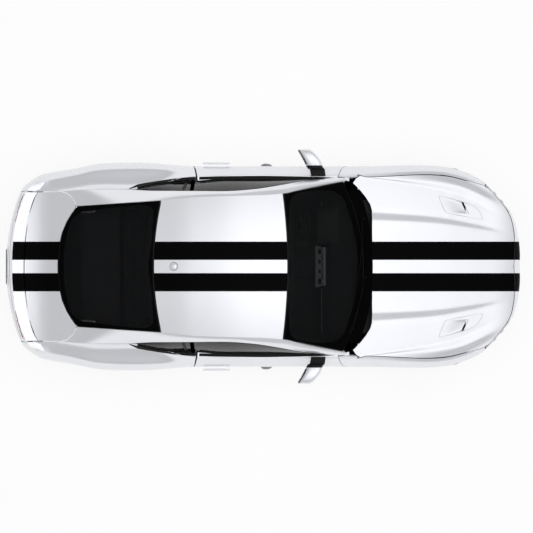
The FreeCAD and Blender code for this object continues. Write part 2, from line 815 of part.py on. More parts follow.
@functools.lru_cache(None)
def make_leaves():
    """The bent leaves that carry the left door on its pins."""
    leaves = []
    for z in door_hinge_z():
        leaf = Part.makeCylinder(8, hinge_leaf, Vector(door_hinge_x, door_hinge_y, z))
        points = [(0, 0), (-16, -48), (-70, -53)]
        for (x0, y0), (x1, y1) in zip(points, points[1:]):
            side = Vector(y0 - y1, x1 - x0, 0).normalize() * 4
            corners = []
            for x, y, k in ((x0, y0, 1), (x1, y1, 1), (x1, y1, -1), (x0, y0, -1)):
                corners.append((door_hinge_x + x + side.x * k, door_hinge_y + y + side.y * k))
            leaf = leaf.fuse(plan_prism(corners, z, z + hinge_leaf))
            leaf = leaf.fuse(Part.makeCylinder(4, hinge_leaf, Vector(door_hinge_x + x1, door_hinge_y + y1, z)))
        leaf = leaf.cut(Part.makeCylinder(door_pin + axle_clearance, 40,
                                          Vector(door_hinge_x, door_hinge_y, z - 5)))
        leaves.append(leaf)
    return leaves


def door_swing():
    """The space round the door hinge that the fender's edge sweeps in the door."""
    back = door_hinge_x - door_front - shut_gap
    reach = math.hypot(back, half_width - 37 - door_hinge_y) + shut_gap
    higher = math.hypot(back + door_front_lean * 100 / 260, half_width - 57 - door_hinge_y) + shut_gap
    low = Part.makeCylinder(reach, 410, Vector(door_hinge_x, door_hinge_y, 290))
    return low.fuse(Part.makeCone(reach, higher, 100, Vector(door_hinge_x, door_hinge_y, 700)))


jack_pad_front = front_axle - 619.5
jack_pad_rear = rear_axle + 600.5
jack_pad_y = 800.0
jack_pad_z = sill_bottom - 8.0


def make_rocker():
    """The left sill between the wheels."""
    ends = (rear_axle + rear_arch + 8, front_axle - front_arch - 8)
    rows = side_grid([station(x) for x in spread(ends[0], ends[1], 9)], low=sill_bottom,
                     high=door_bottom - shut_gap, count=4)
    inner = [[Vector(p.x, 720, p.z) for p in row] for row in rows]
    pads = [box(x - 40, x + 40, jack_pad_y - 30, jack_pad_y + 30, jack_pad_z, jack_pad_z + 20)
            for x in (jack_pad_front, jack_pad_rear)]
    return fused(between(rows, inner), *pads)


def make_trunk_lid():
    """The trunk lid with its two hinge arms."""
    xs = [-2240, -2160, -2100, -2040, -1980, -1920, -1860, -1800, -1730, -1660, -1600]
    ys = [-720, -600, -450, -230, 0, 230, 450, 600, 720]
    outer = [[Vector(x, y, deck_z(x, y)) for y in ys] for x in xs]
    inner = [[p - Vector(0, 0, lid_thickness) for p in row] for row in outer]
    half = lid_outline(shut_gap)
    points = half + [(x, -y) for x, y in reversed(half[1:-1])]
    panel = between(outer, inner).common(plan_prism(points, 800, 1200)).cut(lip_block(800))
    outer_block = between(outer, [[Vector(p.x, p.y, 800) for p in row] for row in outer])
    under = lip_under - seam
    plate = box(tail + 205, tail + 320, -480, 480, under - lip_plate, under)
    web = box(tail + 290, tail + 320, -480, 480, under - lip_plate, 1030)
    plate = plate.fuse(web.common(outer_block).cut(lip_block(under)))
    return fused(panel, plate, make_gooseneck(), mirrored(make_gooseneck()))


def make_gooseneck():
    """The left hinge arm under the trunk lid."""
    points = [(0, 0), (-40, -125), (-200, -130), (-266, -42)]
    arm = across(lid_hinge_x, lid_hinge_z, 13, 480, 494)
    for (x0, z0), (x1, z1) in zip(points, points[1:]):
        along = Vector(x1 - x0, 0, z1 - z0)
        side = Vector(-along.z, 0, along.x).normalize() * 9
        corners = []
        for x, z, k in ((x0, z0, 1), (x1, z1, 1), (x1, z1, -1), (x0, z0, -1)):
            corners.append((lid_hinge_x + x + side.x * k, lid_hinge_z + z + side.z * k))
        arm = arm.fuse(side_prism(corners, 480, 494))
        arm = arm.fuse(across(lid_hinge_x + x1, lid_hinge_z + z1, 9, 480, 494))
    return arm.cut(across(lid_hinge_x, lid_hinge_z, hinge_pin + axle_clearance, 470, 500))


lip_rise = 20.0
lip_front = guide((0, tail + 258), (150, tail + 262), (320, tail + 280), (500, tail + 312),
                  (620, tail + 352), (672, tail + 388), (752, tail + 446))
lip_rear = guide((0, tail + 162), (180, tail + 166), (431, tail + 200), (560, tail + 240),
                 (666, tail + 283), (720, tail + 330), (752, tail + 372))
lip_edge = 660.0
lip_ys = (0, 150, 300, 430, 540, 610, lip_edge)
tip_start = 672.0
tip_end = 752.0


def lip_block(low):
    """The space over a height behind the lip's front edge."""
    ys = [-y for y in reversed(lip_ys[1:])] + list(lip_ys)
    ys = [-lip_edge - shut_gap] + ys[1:-1] + [lip_edge + shut_gap]
    high = [[Vector(x, y, 1200) for x in (lip_front(abs(y)) + 2 * seam, tail - 100)] for y in ys]
    return between(high, [[Vector(p.x, p.y, low) for p in row] for row in high])


def lip(ys, under):
    """A stretch of the lip across the tail, down to the heights under it."""
    rows, bottoms = [], []
    for y in ys:
        x0, x1 = lip_front(y), lip_rear(y)
        base = deck_z(x0, y)
        row, low = [], []
        for u in (0.0, 0.25, 0.6, 0.9, 1.0):
            x = x0 + (x1 - x0) * u
            row.append(Vector(x, y, base + 1 + lip_rise * (u ** 1.3)))
            low.append(Vector(x, y, under))
        rows.append(row)
        bottoms.append(low)
    return rows, bottoms


def make_spoiler():
    """The lip across the tail, fixed to the trunk lid."""
    rows, bottoms = lip(lip_ys, lip_under)
    full = [[Vector(p.x, -p.y, p.z) for p in row] for row in reversed(rows[1:])] + rows
    low = [[Vector(p.x, -p.y, p.z) for p in row] for row in reversed(bottoms[1:])] + bottoms
    return between(full, low)


def make_lip_tip():
    """The end of the lip on the left quarter panel."""
    rows, bottoms = lip((tip_start, 700, 728, tip_end), 948)
    return between(rows, bottoms)


# Nose

grille_shape = [(-430, 655), (430, 655), (500, 560), (350, 405), (-350, 405), (-500, 560)]
intake_shape = [(-560, 335), (560, 335), (620, 250), (520, 200), (-520, 200), (-620, 250)]
lamp_shape = [(500, 655), (530, 600), (700, 606), (880, 640), (880, 900), (500, 900)]


@functools.lru_cache(None)
def nose_rows():
    """Points of the nose's outer surface, from one side to the other."""
    return wrapped(side_grid(spread(station(front_axle + 240), OUTLINE_END, 15)))


def make_front_bumper():
    """The front bumper cover with its openings."""
    cover = slab(nose_rows(), bumper_thickness)
    cover = cover.cut(front_prism(grille_shape, 1900, 2500))
    cover = cover.cut(front_prism(intake_shape, 1900, 2500))
    for lamp in (lamp_shape, [(-y, z) for y, z in lamp_shape]):
        cover = cover.cut(front_prism(lamp, fender_front, 2500))
    cover = cover.cut(hood_tool(0))
    for side in (1, -1):
        y0, y1 = sorted((side * 300, side * 1100))
        cover = cover.cut(across(front_axle, front_tyre_radius, front_arch, y0, y1))
        cover = cover.cut(box(1600, fender_front + shut_gap, y0, y1, bumper_split - shut_gap, 1000))
    return cover


def make_headlamp():
    """The left headlamp, set back a little from the skin round it."""
    rows = side_grid(spread(station(front_axle + 420), OUTLINE_END, 15), low=560)
    lens = slab(inward(rows, 4), 60)
    gap = 0.6
    shape = [(500 + gap, 655), (532 + gap, 600 + gap), (700, 606 + gap), (850, 636 + gap),
             (850, 900), (500 + gap, 900)]
    lens = lens.common(front_prism(shape, fender_front + shut_gap, 2500))
    return lens.cut(hood_tool(-gap))


def shrunk(points, margin):
    """An outline moved in by a margin."""
    wire = Part.makePolygon([Vector(0, y, z) for y, z in points + points[:1]])
    inner = wire.makeOffset2D(-margin, 2)
    return Part.Face(inner).extrude(Vector(2500, 0, 0))


def make_grille():
    """The upper and lower grilles: curved frames with crossing bars."""
    rows = nose_rows()
    parts = []
    for shape, bars, posts in ((grille_shape, 7, 13), (intake_shape, 3, 11)):
        frame = slab(inward(rows, 6), 30).common(shrunk(shape, seam)).cut(shrunk(shape, 12))
        low = min(z for y, z in shape)
        high = max(z for y, z in shape)
        mesh = slab(inward(rows, 16), 10).common(shrunk(shape, 6))
        reach = max(y for y, z in shape)
        strips = [box(1900, 2500, -800, 800, z - 4, z + 4) for z in spread(low, high, bars + 2)[1:-1]]
        strips = strips + [box(1900, 2500, y - 3, y + 3, 100, 700) for y in spread(-reach, reach, posts + 2)[1:-1]]
        parts.append(fused(frame, mesh.common(strips[0].fuse(strips[1:]))))
    return Part.Compound([s for p in parts for s in p.Solids])


# Tail

@functools.lru_cache(None)
def tail_rows(low, high):
    """Points of the tail's outer surface, from one side to the other."""
    stations = spread(station(rear_axle - 240), OUTLINE_START, 15)
    return wrapped(side_grid(stations, low, high))


def make_rear_bumper():
    """The rear bumper cover with a flat seat for the number plate, and the panel over it."""
    cover = slab(tail_rows(230, 700), bumper_thickness)
    cover = cover.cut(box(tail - 100, plate_face, -175, 175, 556, 720))
    cover = cover.fuse(box(plate_face, plate_face + 24, -175, 175, 556, 676))
    for side in (1, -1):
        y0, y1 = sorted((side * 300, side * 1100))
        cover = cover.cut(across(rear_axle, rear_tyre_radius, rear_arch, y0, y1))
        cover = cover.cut(box(-1500 - shut_gap, -1300, y0, y1, 100, 1000))
        cover = cover.cut(across_x(side * 400, 240, 46, tail - 100, tail + 400))
        cover = cover.cut(across_x(side * plate_bolts / 2, plate_z, plate_hole, tail - 100, tail + 100))
        y0, y1 = sorted((side * (tail_corner - shut_gap), side * 1100))
        cover = cover.cut(box(tail - 100, -1300, y0, y1, bumper_split - shut_gap, 1000))
    return Part.Compound(cover.Solids + make_tail_panel().Solids)


lamp_places = (446.0, 528.0, 610.0)
lamp_width = 50.0
lamp_bottom = 738.0
lamp_top = 896.0
lamp_lean = 14.0


def lamp_outlines(margin):
    """The upright tail lamps of both sides seen from behind, made smaller by a margin."""
    outlines = []
    for y in lamp_places:
        half = lamp_width / 2 - margin
        points = [(y - half - lamp_lean, lamp_bottom + margin), (y + half - lamp_lean, lamp_bottom + margin),
                  (y + half + lamp_lean, lamp_top - margin), (y - half + lamp_lean, lamp_top - margin)]
        outlines.append(points)
        outlines.append([(-y, z) for y, z in points])
    return outlines


lip_plate = 8.0
lip_under = deck_z(tail + 260, lip_edge) - lid_thickness + 2
panel_top = lip_under - lip_plate - shut_gap - 1


def make_tail_panel():
    """The panel between bumper and lip that holds the tail lamps."""
    reach = tail_corner - shut_gap
    panel = slab(tail_rows(700 + shut_gap, panel_top), 40)
    panel = panel.common(box(tail - 100, tail + 334 - shut_gap, -reach, reach, 600, 1000))
    for points in lamp_outlines(0.0):
        panel = panel.cut(front_prism(points, tail - 100, tail + 500))
    return panel


def make_tail_lamps():
    """Three upright lamps at each side, a little proud of their panel."""
    block = slab(inward(tail_rows(700 + shut_gap, panel_top), -4), 40)
    lamps = [block.common(front_prism(points, tail - 100, tail + 500)) for points in lamp_outlines(seam)]
    return Part.Compound([s for lamp in lamps for s in lamp.Solids])


# Glass

def make_windscreen():
    """The windscreen."""
    return slab(screen_grid(margin=10), glass_thickness)


def make_rear_window():
    """The rear window."""
    return slab(rear_glass_grid(margin=8), glass_thickness)


def make_window_frames():
    """The flanges that the windscreen and the rear window lie on."""
    frames = []
    for grid, border in ((screen_grid(margin=2), 60), (rear_glass_grid(margin=2), 64)):
        flange = slab(inward(grid, glass_thickness + seam), 6)
        base = [(p.x, p.y) for p in grid[0]]
        top = [(p.x, p.y) for p in grid[-1]]
        middle_x = (grid[0][4].x + grid[-1][4].x) / 2
        hole = []
        for x, y in base + list(reversed(top)):
            hole.append((middle_x + (x - middle_x) * 0.84, y * 0.92))
        frames.append(flange.cut(plan_prism(hole, 800, 1500)).cut(both(make_rail())))
    return Part.Compound([s for f in frames for s in f.Solids])


def glass_point(x, u, top_gap, low_gap):
    """A point of the left side glass, from the belt line up."""
    a, b, out = rail_frame(x)
    low = Vector(x, belt_y(x) - 34, top_of(station(x)) + low_gap)
    high = a + (a - b).normalize() * top_gap - out * 10
    bulge = 8 * 4 * u * (1 - u)
    return low + (high - low) * u + Vector(0, bulge, bulge * 0.4)


def make_side_glass(xs, top_gap, low_gap):
    """A side window between two places along the car."""
    outer = [[glass_point(x, u, top_gap, low_gap) for u in (0.0, 0.33, 0.66, 1.0)] for x in xs]
    return slab(outer, glass_thickness)


def make_door_glass():
    """The left door's window."""
    return make_side_glass(spread(-610, 560, 11), shut_gap + 2, 2 + seam)


def make_quarter_glass():
    """The left rear side window."""
    pane = make_side_glass(spread(-1120, -640 - shut_gap, 7), 0.6, 2 + seam)
    return pane.cut(make_rail())


# Mirrors

def rounded_ring(y, x0, x1, z0, z1):
    """A smooth closed curve across the car, round a box with soft corners."""
    middle = Vector((x0 + x1) / 2, y, (z0 + z1) / 2)
    points = []
    for turn in spread(0, 2 * math.pi, 17)[:-1]:
        c, s = math.cos(turn), math.sin(turn)
        wide = math.copysign(abs(c) ** 0.55, c) * (x1 - x0) / 2
        high = math.copysign(abs(s) ** 0.6, s) * (z1 - z0) / 2
        points.append(middle + Vector(wide, 0, high))
    curve = Part.BSplineCurve()
    curve.interpolate(Points=points, PeriodicFlag=True)
    return Part.Wire(curve.toShape())


mirror_reach = 1038.0


def make_mirror():
    """The left mirror: a foot on the door and a shell with a raked rear face."""
    foot = plan_prism([(420, 806), (548, 806), (540, 868), (500, 905), (400, 905)], 950, 984)
    rings = [rounded_ring(*sizes) for sizes in (
        (868, 392, 516, 958, 1068), (905, 366, 515, 948, 1078), (950, 344, 494, 944, 1084),
        (990, 322, 462, 950, 1082), (1022, 303, 432, 966, 1070), (mirror_reach, 300, 412, 992, 1046))]
    return foot.fuse(Part.makeLoft(rings, True, False))


# Body structure

def wheelhouse(axle, radius, arch, rows, wall):
    """The liner over a left wheel, flush with the arch's lip, and its inner wall."""
    ring = across(axle, radius, arch - seam, wall, 1000).cut(across(axle, radius, arch - 6, wall + 6, 1001))
    ring = ring.common(box(axle - 500, axle + 500, wall, 1000, door_bottom, 1000))
    return ring.common(behind(rows, 5)).cut(across(axle, radius, 75, 300, 700))


def make_liners():
    """The four wheelhouses."""
    front = wheelhouse(front_axle, front_tyre_radius, front_arch, fender_rows(), 484)
    front = front.cut(box(front_axle - 34, front_axle + 34, 480, 500, 480, 520))
    rear = wheelhouse(rear_axle, rear_tyre_radius, rear_arch, quarter_rows(), 636)
    return Part.Compound(both(front).Solids + both(rear).Solids)


def make_cabin_frame():
    """Hinge posts, lock posts and the cross members that carry the cabin."""
    post = box(door_front + 14, 1092, 600, 900, floor_height + floor_thickness, 880)
    post = post.cut(across(front_axle, front_tyre_radius, front_arch, 599, 1001))
    post = post.common(behind(fender_rows(), skin + seam))
    over_rocker = door_bottom - shut_gap + seam
    post = post.cut(box(500, 1200, 720 - seam, 1000, 0, over_rocker))
    bracket = box(hood_hinge_x - 10, hood_hinge_x + 10, 706, 718, 870, hood_hinge_z)
    bracket = bracket.fuse([across(hood_hinge_x, hood_hinge_z, 10, 706, 718),
                            across(hood_hinge_x, hood_hinge_z, hinge_pin, 688, 718)])
    post = post.cut(plan_prism([(door_front - 40, 700), (door_front + 12, 700), (door_front + 12, 1000),
                                (door_front - 40, 1000)], 100, 1000))
    lock = box(-800, door_rear - 12, 636, 900, floor_height + floor_thickness, 960)
    lock = lock.cut(across(rear_axle, rear_tyre_radius, rear_arch, 599, 1001))
    ledge = []
    for x in spread(-1110, -670, 5):
        ledge.append([Vector(x, belt_y(x) - y, top_of(station(x))) for y in (20, 36, 52)])
    ledge = largest(slab(ledge, 30).cut(slab(quarter_rows(), skin + seam)))
    lock = lock.common(behind(quarter_rows(), skin + seam))
    lock = lock.cut(box(-1000, 0, 720 - seam, 1000, 0, over_rocker))
    post = post.cut(make_rail())
    for z in door_hinge_z():
        post = post.cut(Part.makeCylinder(70, hinge_leaf + 12, Vector(door_hinge_x, door_hinge_y, z - 6)))
        post = post.fuse(Part.makeCylinder(door_pin, hinge_leaf + 40,
                                           Vector(door_hinge_x, door_hinge_y, z - 20)))
    beam = box(1010, 1092, -610, 610, 640, 860)
    tab = box(800, 826, 640, 668, 870, 965).cut(outside(cowl_rows(), 8 + seam))
    parts = [post, bracket, lock, ledge, tab]
    return fused(beam, *(parts + [mirrored(p) for p in parts]))


@functools.lru_cache(None)
def cowl_rows():
    """Points of the cowl's upper surface."""
    rows = []
    for y in spread(-680, 680, 13):
        base = screen_edge(y, True)
        x1 = hood_rear - 4 - (hood_rear - 800) * (abs(y) / 760) ** 3.2
        row = []
        for u in (0.0, 0.5, 1.0):
            x = base.x + 6 + (x1 - base.x - 10) * u
            row.append(Vector(x, y, base.z - 12 - 16 * u))
        rows.append(row)
    return rows


def make_cowl():
    """The black panel between the hood and the windscreen."""
    return slab(cowl_rows(), 8).cut(hood_tool(-2))


# Interior

def make_floor():
    """The floor with its tunnel, firewall, rear seat pan, luggage floor and bulkhead."""
    edge = 720 - seam
    top = floor_height + floor_thickness
    floor = box(-660, 1120, -edge, edge, floor_height, top)
    tunnel = box(-660, 1120, -130, 130, floor_height, 330)
    wall = box(1094, 1120, -600, 600, floor_height, 880)
    heel = box(-686, -660, -630, 630, floor_height, 330)
    pan = box(-2220, -660, -630, 630, 304, 330)
    trunk = box(-2220, -1640, -560, 560, 304, 331)
    hump = box(-1330, -1075, -630, 630, 304, 480)
    shelf = box(-1640, -1300, -520, 520, 860, 880)
    back = box(-1325, -1300, -520, 520, 320, 880)
    body = fused(floor, tunnel, wall, heel, pan.cut(box(-2221, -1640, -640, 640, 300, 340)), trunk,
                 hump, back, shelf)
    hollow = box(-661, 1121, -100, 100, 100, 300).fuse(box(-690, -640, -100, 100, 100, 303))
    body = body.cut(hollow)
    body = body.cut(box(-1310, -1095, -610, 610, 300, 460))
    body = body.cut(across(rear_axle, rear_tyre_radius, 70, -700, 700))
    stays = [box(tail - 20, tail + 190, y, y + 40, 400, 440) for y in (-520, 480)]
    stays = stays + [box(tail + 174, tail + 190, y, y + 40, 310, 440) for y in (-520, 480)]
    stays = fused(*stays).cut(outside(tail_rows(230, 700), bumper_thickness + seam))
    wall = [box(tail + 100, tail + 214, y, y + 30, 740, 800) for y in (-400, 370)]
    wall = wall + [box(tail + 198, tail + 214, y, y + 30, 310, 800) for y in (-400, 370)]
    wall = fused(*wall).cut(outside(tail_rows(700 + shut_gap, panel_top), 40 + seam))
    body = fused(body, stays, wall)
    bracket = box(lid_hinge_x - 11, lid_hinge_x + 11, 496, 508, 870, lid_hinge_z)
    bracket = bracket.fuse([across(lid_hinge_x, lid_hinge_z, 11, 496, 508),
                            across(lid_hinge_x, lid_hinge_z, hinge_pin, 478, 508)])
    return fused(body, bracket, mirrored(bracket))


def make_seat(y):
    """One front seat."""
    base = box(-420, 80, y - 225, y + 225, 240, 400)
    base = rounded(base, 40)
    back = box(-480, -330, y - 220, y + 220, 380, 960)
    back.rotate(Vector(-400, y, 400), Vector(0, 1, 0), -20)
    back = rounded(back, 40)
    head = rounded(box(-455, -365, y - 125, y + 125, 1000, 1150), 30)
    posts = [rod(Vector(-410, y + k, 940), Vector(-410, y + k, 1010), 7) for k in (-50, 50)]
    head = head.fuse(posts)
    head.rotate(Vector(-400, y, 400), Vector(0, 1, 0), -20)
    return fused(base, back, head)


def make_front_seats():
    left = make_seat(376)
    rails = [box(-380, 40, y, y + 40, floor_height + floor_thickness + seam, 246) for y in (200, 512)]
    return both(left.fuse(rails))


def make_rear_seat():
    base = rounded(box(-1060, -680, -560, 560, 330 + seam, 450), 30)
    back = side_prism([(-1080, 480 + seam), (-1180, 480 + seam), (-1290, 850), (-1190, 850)], -560, 560)
    return base.fuse(rounded(back, 24))


def make_dashboard():
    """The dashboard with four round vents in the middle."""
    points = [(520, 640), (490, 760), (520, 860), (600, 900), (800, 905), (1000, 860), (1000, 640)]
    dash = side_prism(points, seam - 600, 600 - seam)
    axis = steering_axis()
    centre = Vector(steering_wheel_x, steering_wheel_y, steering_wheel_z)
    return dash.cut(rod(centre - axis * 120, centre - axis * 260, shaft_radius + axle_clearance))


steering_wheel_x = 330.0
steering_wheel_z = 800.0
steering_wheel_y = 370.0
column_tilt = 24.0
shaft_radius = 16.0


def steering_axis():
    """The steering column's direction, towards the driver."""
    return Vector(-math.cos(math.radians(column_tilt)), 0, math.sin(math.radians(column_tilt)))


def make_steering_wheel():
    """The steering wheel on its shaft."""
    axis = steering_axis()
    centre = Vector(steering_wheel_x, steering_wheel_y, steering_wheel_z)
    ring = Part.makeTorus(180, 15, centre, axis)
    hub = Part.makeCylinder(60, 40, centre - axis * 35, axis)
    parts = [hub]
    side = Vector(0, 1, 0)
    up = axis.cross(side)
    for turn in (0, 180, 270):
        a = math.radians(turn)
        direction = side * math.cos(a) + up * math.sin(a)
        parts.append(rod(centre + direction * 40 - axis * 10, centre + direction * 178 - axis * 3, 11))
    shaft = rod(centre - axis * 30, centre - axis * 240, shaft_radius)
    return ring.fuse(parts + [shaft])


def make_console():
    return rounded(box(-500, 480, -110, 110, 330 + seam, 560), 20)


# Chassis

def make_engine():
    """The engine and gearbox as one plain block."""
    block = box(1200, 1850, -300, 300, 200, 760)
    gearbox = box(560, 1201, -88, 88, 205, 292)
    return fused(block, gearbox.cut(box(1094, 1120, -600, 600, 293, 880)))


def make_front_frame():
    """Front rails, cross members and the mounts of the suspension arms."""
    parts = [box(2160, 2200, -460, 460, 300, 400)]
    stays = [box(2190, 2420, y, y + 40, 340, 380) for y in (-420, 380)]
    stays.append(box(2190, 2420, -20, 20, 660, 690))
    stays.append(box(2190, 2210, -20, 20, 300, 690))
    stays = fused(*stays).cut(outside(nose_rows(), bumper_thickness + seam))
    parts.append(stays)
    for side in (1, -1):
        y0, y1 = sorted((side * 400, side * 460))
        parts.append(box(1120, 2200, y0, y1, 300, 400))
        parts.append(box(front_axle - 60, front_axle + 60, y0, y1, 160, 305))
        parts.append(box(front_axle - 110, front_axle + 110, y0, y1, 395, 760))
        y0, y1 = sorted((side * 450, side * (484 - seam)))
        parts.append(box(front_axle - 110, front_axle + 110, y0, y1, 600, 700))
    parts.append(box(front_axle - 60, front_axle + 60, -460, 460, 160, 196))
    return fused(*parts)


def bore_end(width):
    """How far a wheel's bore reaches outwards from the middle of the wheel."""
    return width / 2 - 64


def make_arms():
    """The two arms that hold each front wheel carrier, with the pins it turns on."""
    parts = []
    for z0, z1, pin0, pin1 in ((160, 184, 170, 230), (500, 520, 460, 510)):
        arm = box(front_axle - 24, front_axle + 24, 460 + seam, kingpin_y, z0, z1)
        end = Part.makeCylinder(24, z1 - z0, Vector(front_axle, kingpin_y, z0))
        pin = Part.makeCylinder(kingpin, pin1 - pin0, Vector(front_axle, kingpin_y, pin0))
        parts.append(fused(arm, end, pin))
    return both(Part.Compound(parts))


def make_driveline():
    """The propeller shaft, final drive, half shafts and rear wheel carriers."""
    parts = [rod(Vector(rear_axle + 60, 0, 264), Vector(559, 0, 248), 32)]
    parts.append(Part.makeSphere(95, Vector(rear_axle, 0, rear_tyre_radius)))
    end = rear_wheel_y + bore_end(rear_tyre_width) - 4
    parts.append(across(rear_axle, rear_tyre_radius, axle_radius, -end, end))
    for side in (1, -1):
        y0, y1 = sorted((side * 600, side * (rear_wheel_y - 100)))
        parts.append(across(rear_axle, rear_tyre_radius, 62, y0, y1))
        y0, y1 = sorted((side * 560, side * 601))
        parts.append(box(rear_axle - 160, rear_axle + 160, y0, y1, 250, 304 - seam))
    return fused(*parts)


def make_exhaust():
    """Two pipes with mufflers and tips at the tail."""
    parts = [rod(Vector(1000, 170, 146), Vector(-1600, 170, 146), 22)]
    parts.append(rod(Vector(-1600, 170, 146), Vector(-1800, 380, 232), 22))
    parts.append(Part.makeSphere(22, Vector(-1600, 170, 146)))
    parts.append(rounded(box(-2120, -1760, 260, 520, 190, 304 - seam), 30))
    parts.append(rod(Vector(-2100, 400, 240), Vector(-2370, 400, 240), 40))
    return both(fused(*parts))


def make_knuckle():
    """The left front wheel carrier with its stub axle."""
    upright = box(front_axle - 34, front_axle + 34, kingpin_y - 26, kingpin_y + 26, 192, 492)
    for z0, z1 in ((191, 231), (459, 493)):
        upright = upright.cut(Part.makeCylinder(kingpin + axle_clearance, z1 - z0,
                                                Vector(front_axle, kingpin_y, z0)))
    return upright.fuse(across(front_axle, front_tyre_radius, axle_radius, kingpin_y,
                               front_wheel_y + bore_end(front_tyre_width) - 4))


def tyre(radius, width):
    """A tyre standing on the ground, about the Y axis."""
    half = width / 2
    bead = rim_radius
    profile = Part.makePolygon([
        Vector(bead, -half + 22, 0), Vector(bead + 45, -half, 0),
        Vector(radius - tyre_shoulder, -half + 4, 0), Vector(radius - 6, -half + tyre_shoulder, 0),
        Vector(radius, -half + tyre_shoulder + 22, 0), Vector(radius, half - tyre_shoulder - 22, 0),
        Vector(radius - 6, half - tyre_shoulder, 0), Vector(radius - tyre_shoulder, half - 4, 0),
        Vector(bead + 45, half, 0), Vector(bead, half - 22, 0), Vector(bead, -half + 22, 0)])
    return Part.Face(profile).revolve(Vector(), Vector(0, 1, 0), 360)


def spoke(face, outer):
    """One spoke along +X that leans in towards the hub and narrows towards the barrel."""
    sections = []
    for r, wide, front, deep in ((hub_radius - 16, 40, face - 26, 34), (outer * 0.55, 26, face - 12, 32),
                                 (outer - 5, 30, face, 30)):
        corners = [Vector(r, front - deep, -wide / 2), Vector(r, front - deep, wide / 2),
                   Vector(r, front - 6, wide / 2), Vector(r, front, wide / 3),
                   Vector(r, front, -wide / 3), Vector(r, front - 6, -wide / 2)]
        sections.append(Part.makePolygon(corners + corners[:1]))
    return Part.makeLoft(sections, True, True)


def rim(width):
    """A wheel about the Y axis, its face on +Y: barrel, twin spokes, hub, nuts and brake disc."""
    half = width / 2 - 12
    outer = rim_radius - seam
    lip = rim_wall + 8
    barrel = Part.Face(Part.makePolygon([
        Vector(outer, -half, 0), Vector(outer, half, 0), Vector(outer - lip, half, 0),
        Vector(outer - rim_wall, half - 22, 0), Vector(outer - rim_wall, -half, 0),
        Vector(outer, -half, 0)]))
    barrel = barrel.revolve(Vector(), Vector(0, 1, 0), 360)
    face = half - 16
    hub_face = face - 24
    along = Vector(0, 1, 0)
    parts = [Part.makeCylinder(hub_radius, 60, Vector(0, hub_face - 60, 0), along)]
    parts.append(Part.makeCone(34, 28, 14, Vector(0, hub_face - 1, 0), along))
    for pair in range(spoke_pairs):
        middle = pair * 360 / spoke_pairs
        for offset in (-spoke_spread, spoke_spread):
            bar = spoke(face, outer)
            bar.rotate(Vector(), along, middle + offset)
            parts.append(bar)
        turn = math.radians(middle + 180 / spoke_pairs)
        place = Vector(lug_circle * math.cos(turn), hub_face - 1, lug_circle * math.sin(turn))
        parts.append(Part.makeCylinder(lug_radius, 13, place, along))
    parts.append(Part.makeCylinder(disc_radius, disc_thickness, Vector(0, face - 90, 0), along))
    wheel = barrel.fuse(parts)
    return wheel.cut(across(0, 0, axle_radius + axle_clearance, -half, bore_end(width)))


def placed(shape, x, y, z):
    """A copy moved to a place."""
    moved = shape.copy()
    moved.translate(Vector(x, y, z))
    return moved


# All pieces by name

def build():
    """Every piece, by the name of its node."""
    front_rim, rear_rim = rim(front_tyre_width), rim(rear_tyre_width)
    front_tyre = tyre(front_tyre_radius, front_tyre_width)
    rear_tyre = tyre(rear_tyre_radius, rear_tyre_width)
    door, glass, mirror = make_door(), make_door_glass(), make_mirror()
    knuckle = make_knuckle()
    nodes = {
        "front_fenders": both(make_fender()),
        "hood": make_hood(),
        "roof_panel": make_roof(),
        "cabin_rails": both(make_rail()),
        "quarter_panels": both(make_quarter()),
        "door_left": door,
        "door_right": mirrored(door),
        "door_left_glass": glass,
        "door_right_glass": mirrored(glass),
        "mirror_left": mirror,
        "mirror_right": mirrored(mirror),
        "rockers": both(make_rocker()),
        "trunk_lid": make_trunk_lid(),
        "rear_spoiler": make_spoiler(),
        "front_bumper": make_front_bumper(),
        "headlamps": both(make_headlamp()),
        "front_grilles": make_grille(),
        "rear_bumper": make_rear_bumper(),
        "tail_lamps": make_tail_lamps(),
        "windscreen": make_windscreen(),
        "rear_window": make_rear_window(),
        "quarter_glass": both(make_quarter_glass()),
        "wheel_liners": make_liners(),
        "cabin_frame": make_cabin_frame(),
        "cowl_panel": make_cowl(),
        "floor_pan": make_floor(),
        "seats": Part.Compound(make_front_seats().Solids + make_rear_seat().Solids),
        "dashboard_and_console": Part.Compound([make_dashboard(), make_console()]),
        "window_frames": make_window_frames(),
        "steering_wheel": make_steering_wheel(),
        "engine_block": make_engine(),
        "front_frame": make_front_frame(),
        "suspension_arms": make_arms(),
        "driveline": make_driveline(),
        "exhaust": make_exhaust(),
        "knuckle_left": knuckle,
        "knuckle_right": mirrored(knuckle),
    }
    for name, x, y, radius, wheel, rubber in (
            ("front_left", front_axle, front_wheel_y, front_tyre_radius, front_rim, front_tyre),
            ("front_right", front_axle, -front_wheel_y, front_tyre_radius, mirrored(front_rim), front_tyre),
            ("rear_left", rear_axle, rear_wheel_y, rear_tyre_radius, rear_rim, rear_tyre),
            ("rear_right", rear_axle, -rear_wheel_y, rear_tyre_radius, mirrored(rear_rim), rear_tyre)):
        nodes["rim_" + name] = placed(wheel, x, y, radius)
        nodes["tyre_" + name] = placed(rubber, x, y, radius)
    return nodes


os.makedirs("parts", exist_ok=True)
for node, shape in build().items():
    shape.exportStep("parts/" + node + ".step")
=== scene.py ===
"""Looks of the two-door muscle car: materials, small details, light and camera.

Metres. +X to the front, +Y to the car's left, +Z up, origin on the ground under the middle.
"""
import bpy
import bmesh
import json
from math import atan2, copysign, cos, exp, pi, radians, sin
from mathutils import Matrix, Vector
from mathutils.bvhtree import BVHTree
from numpy import interp

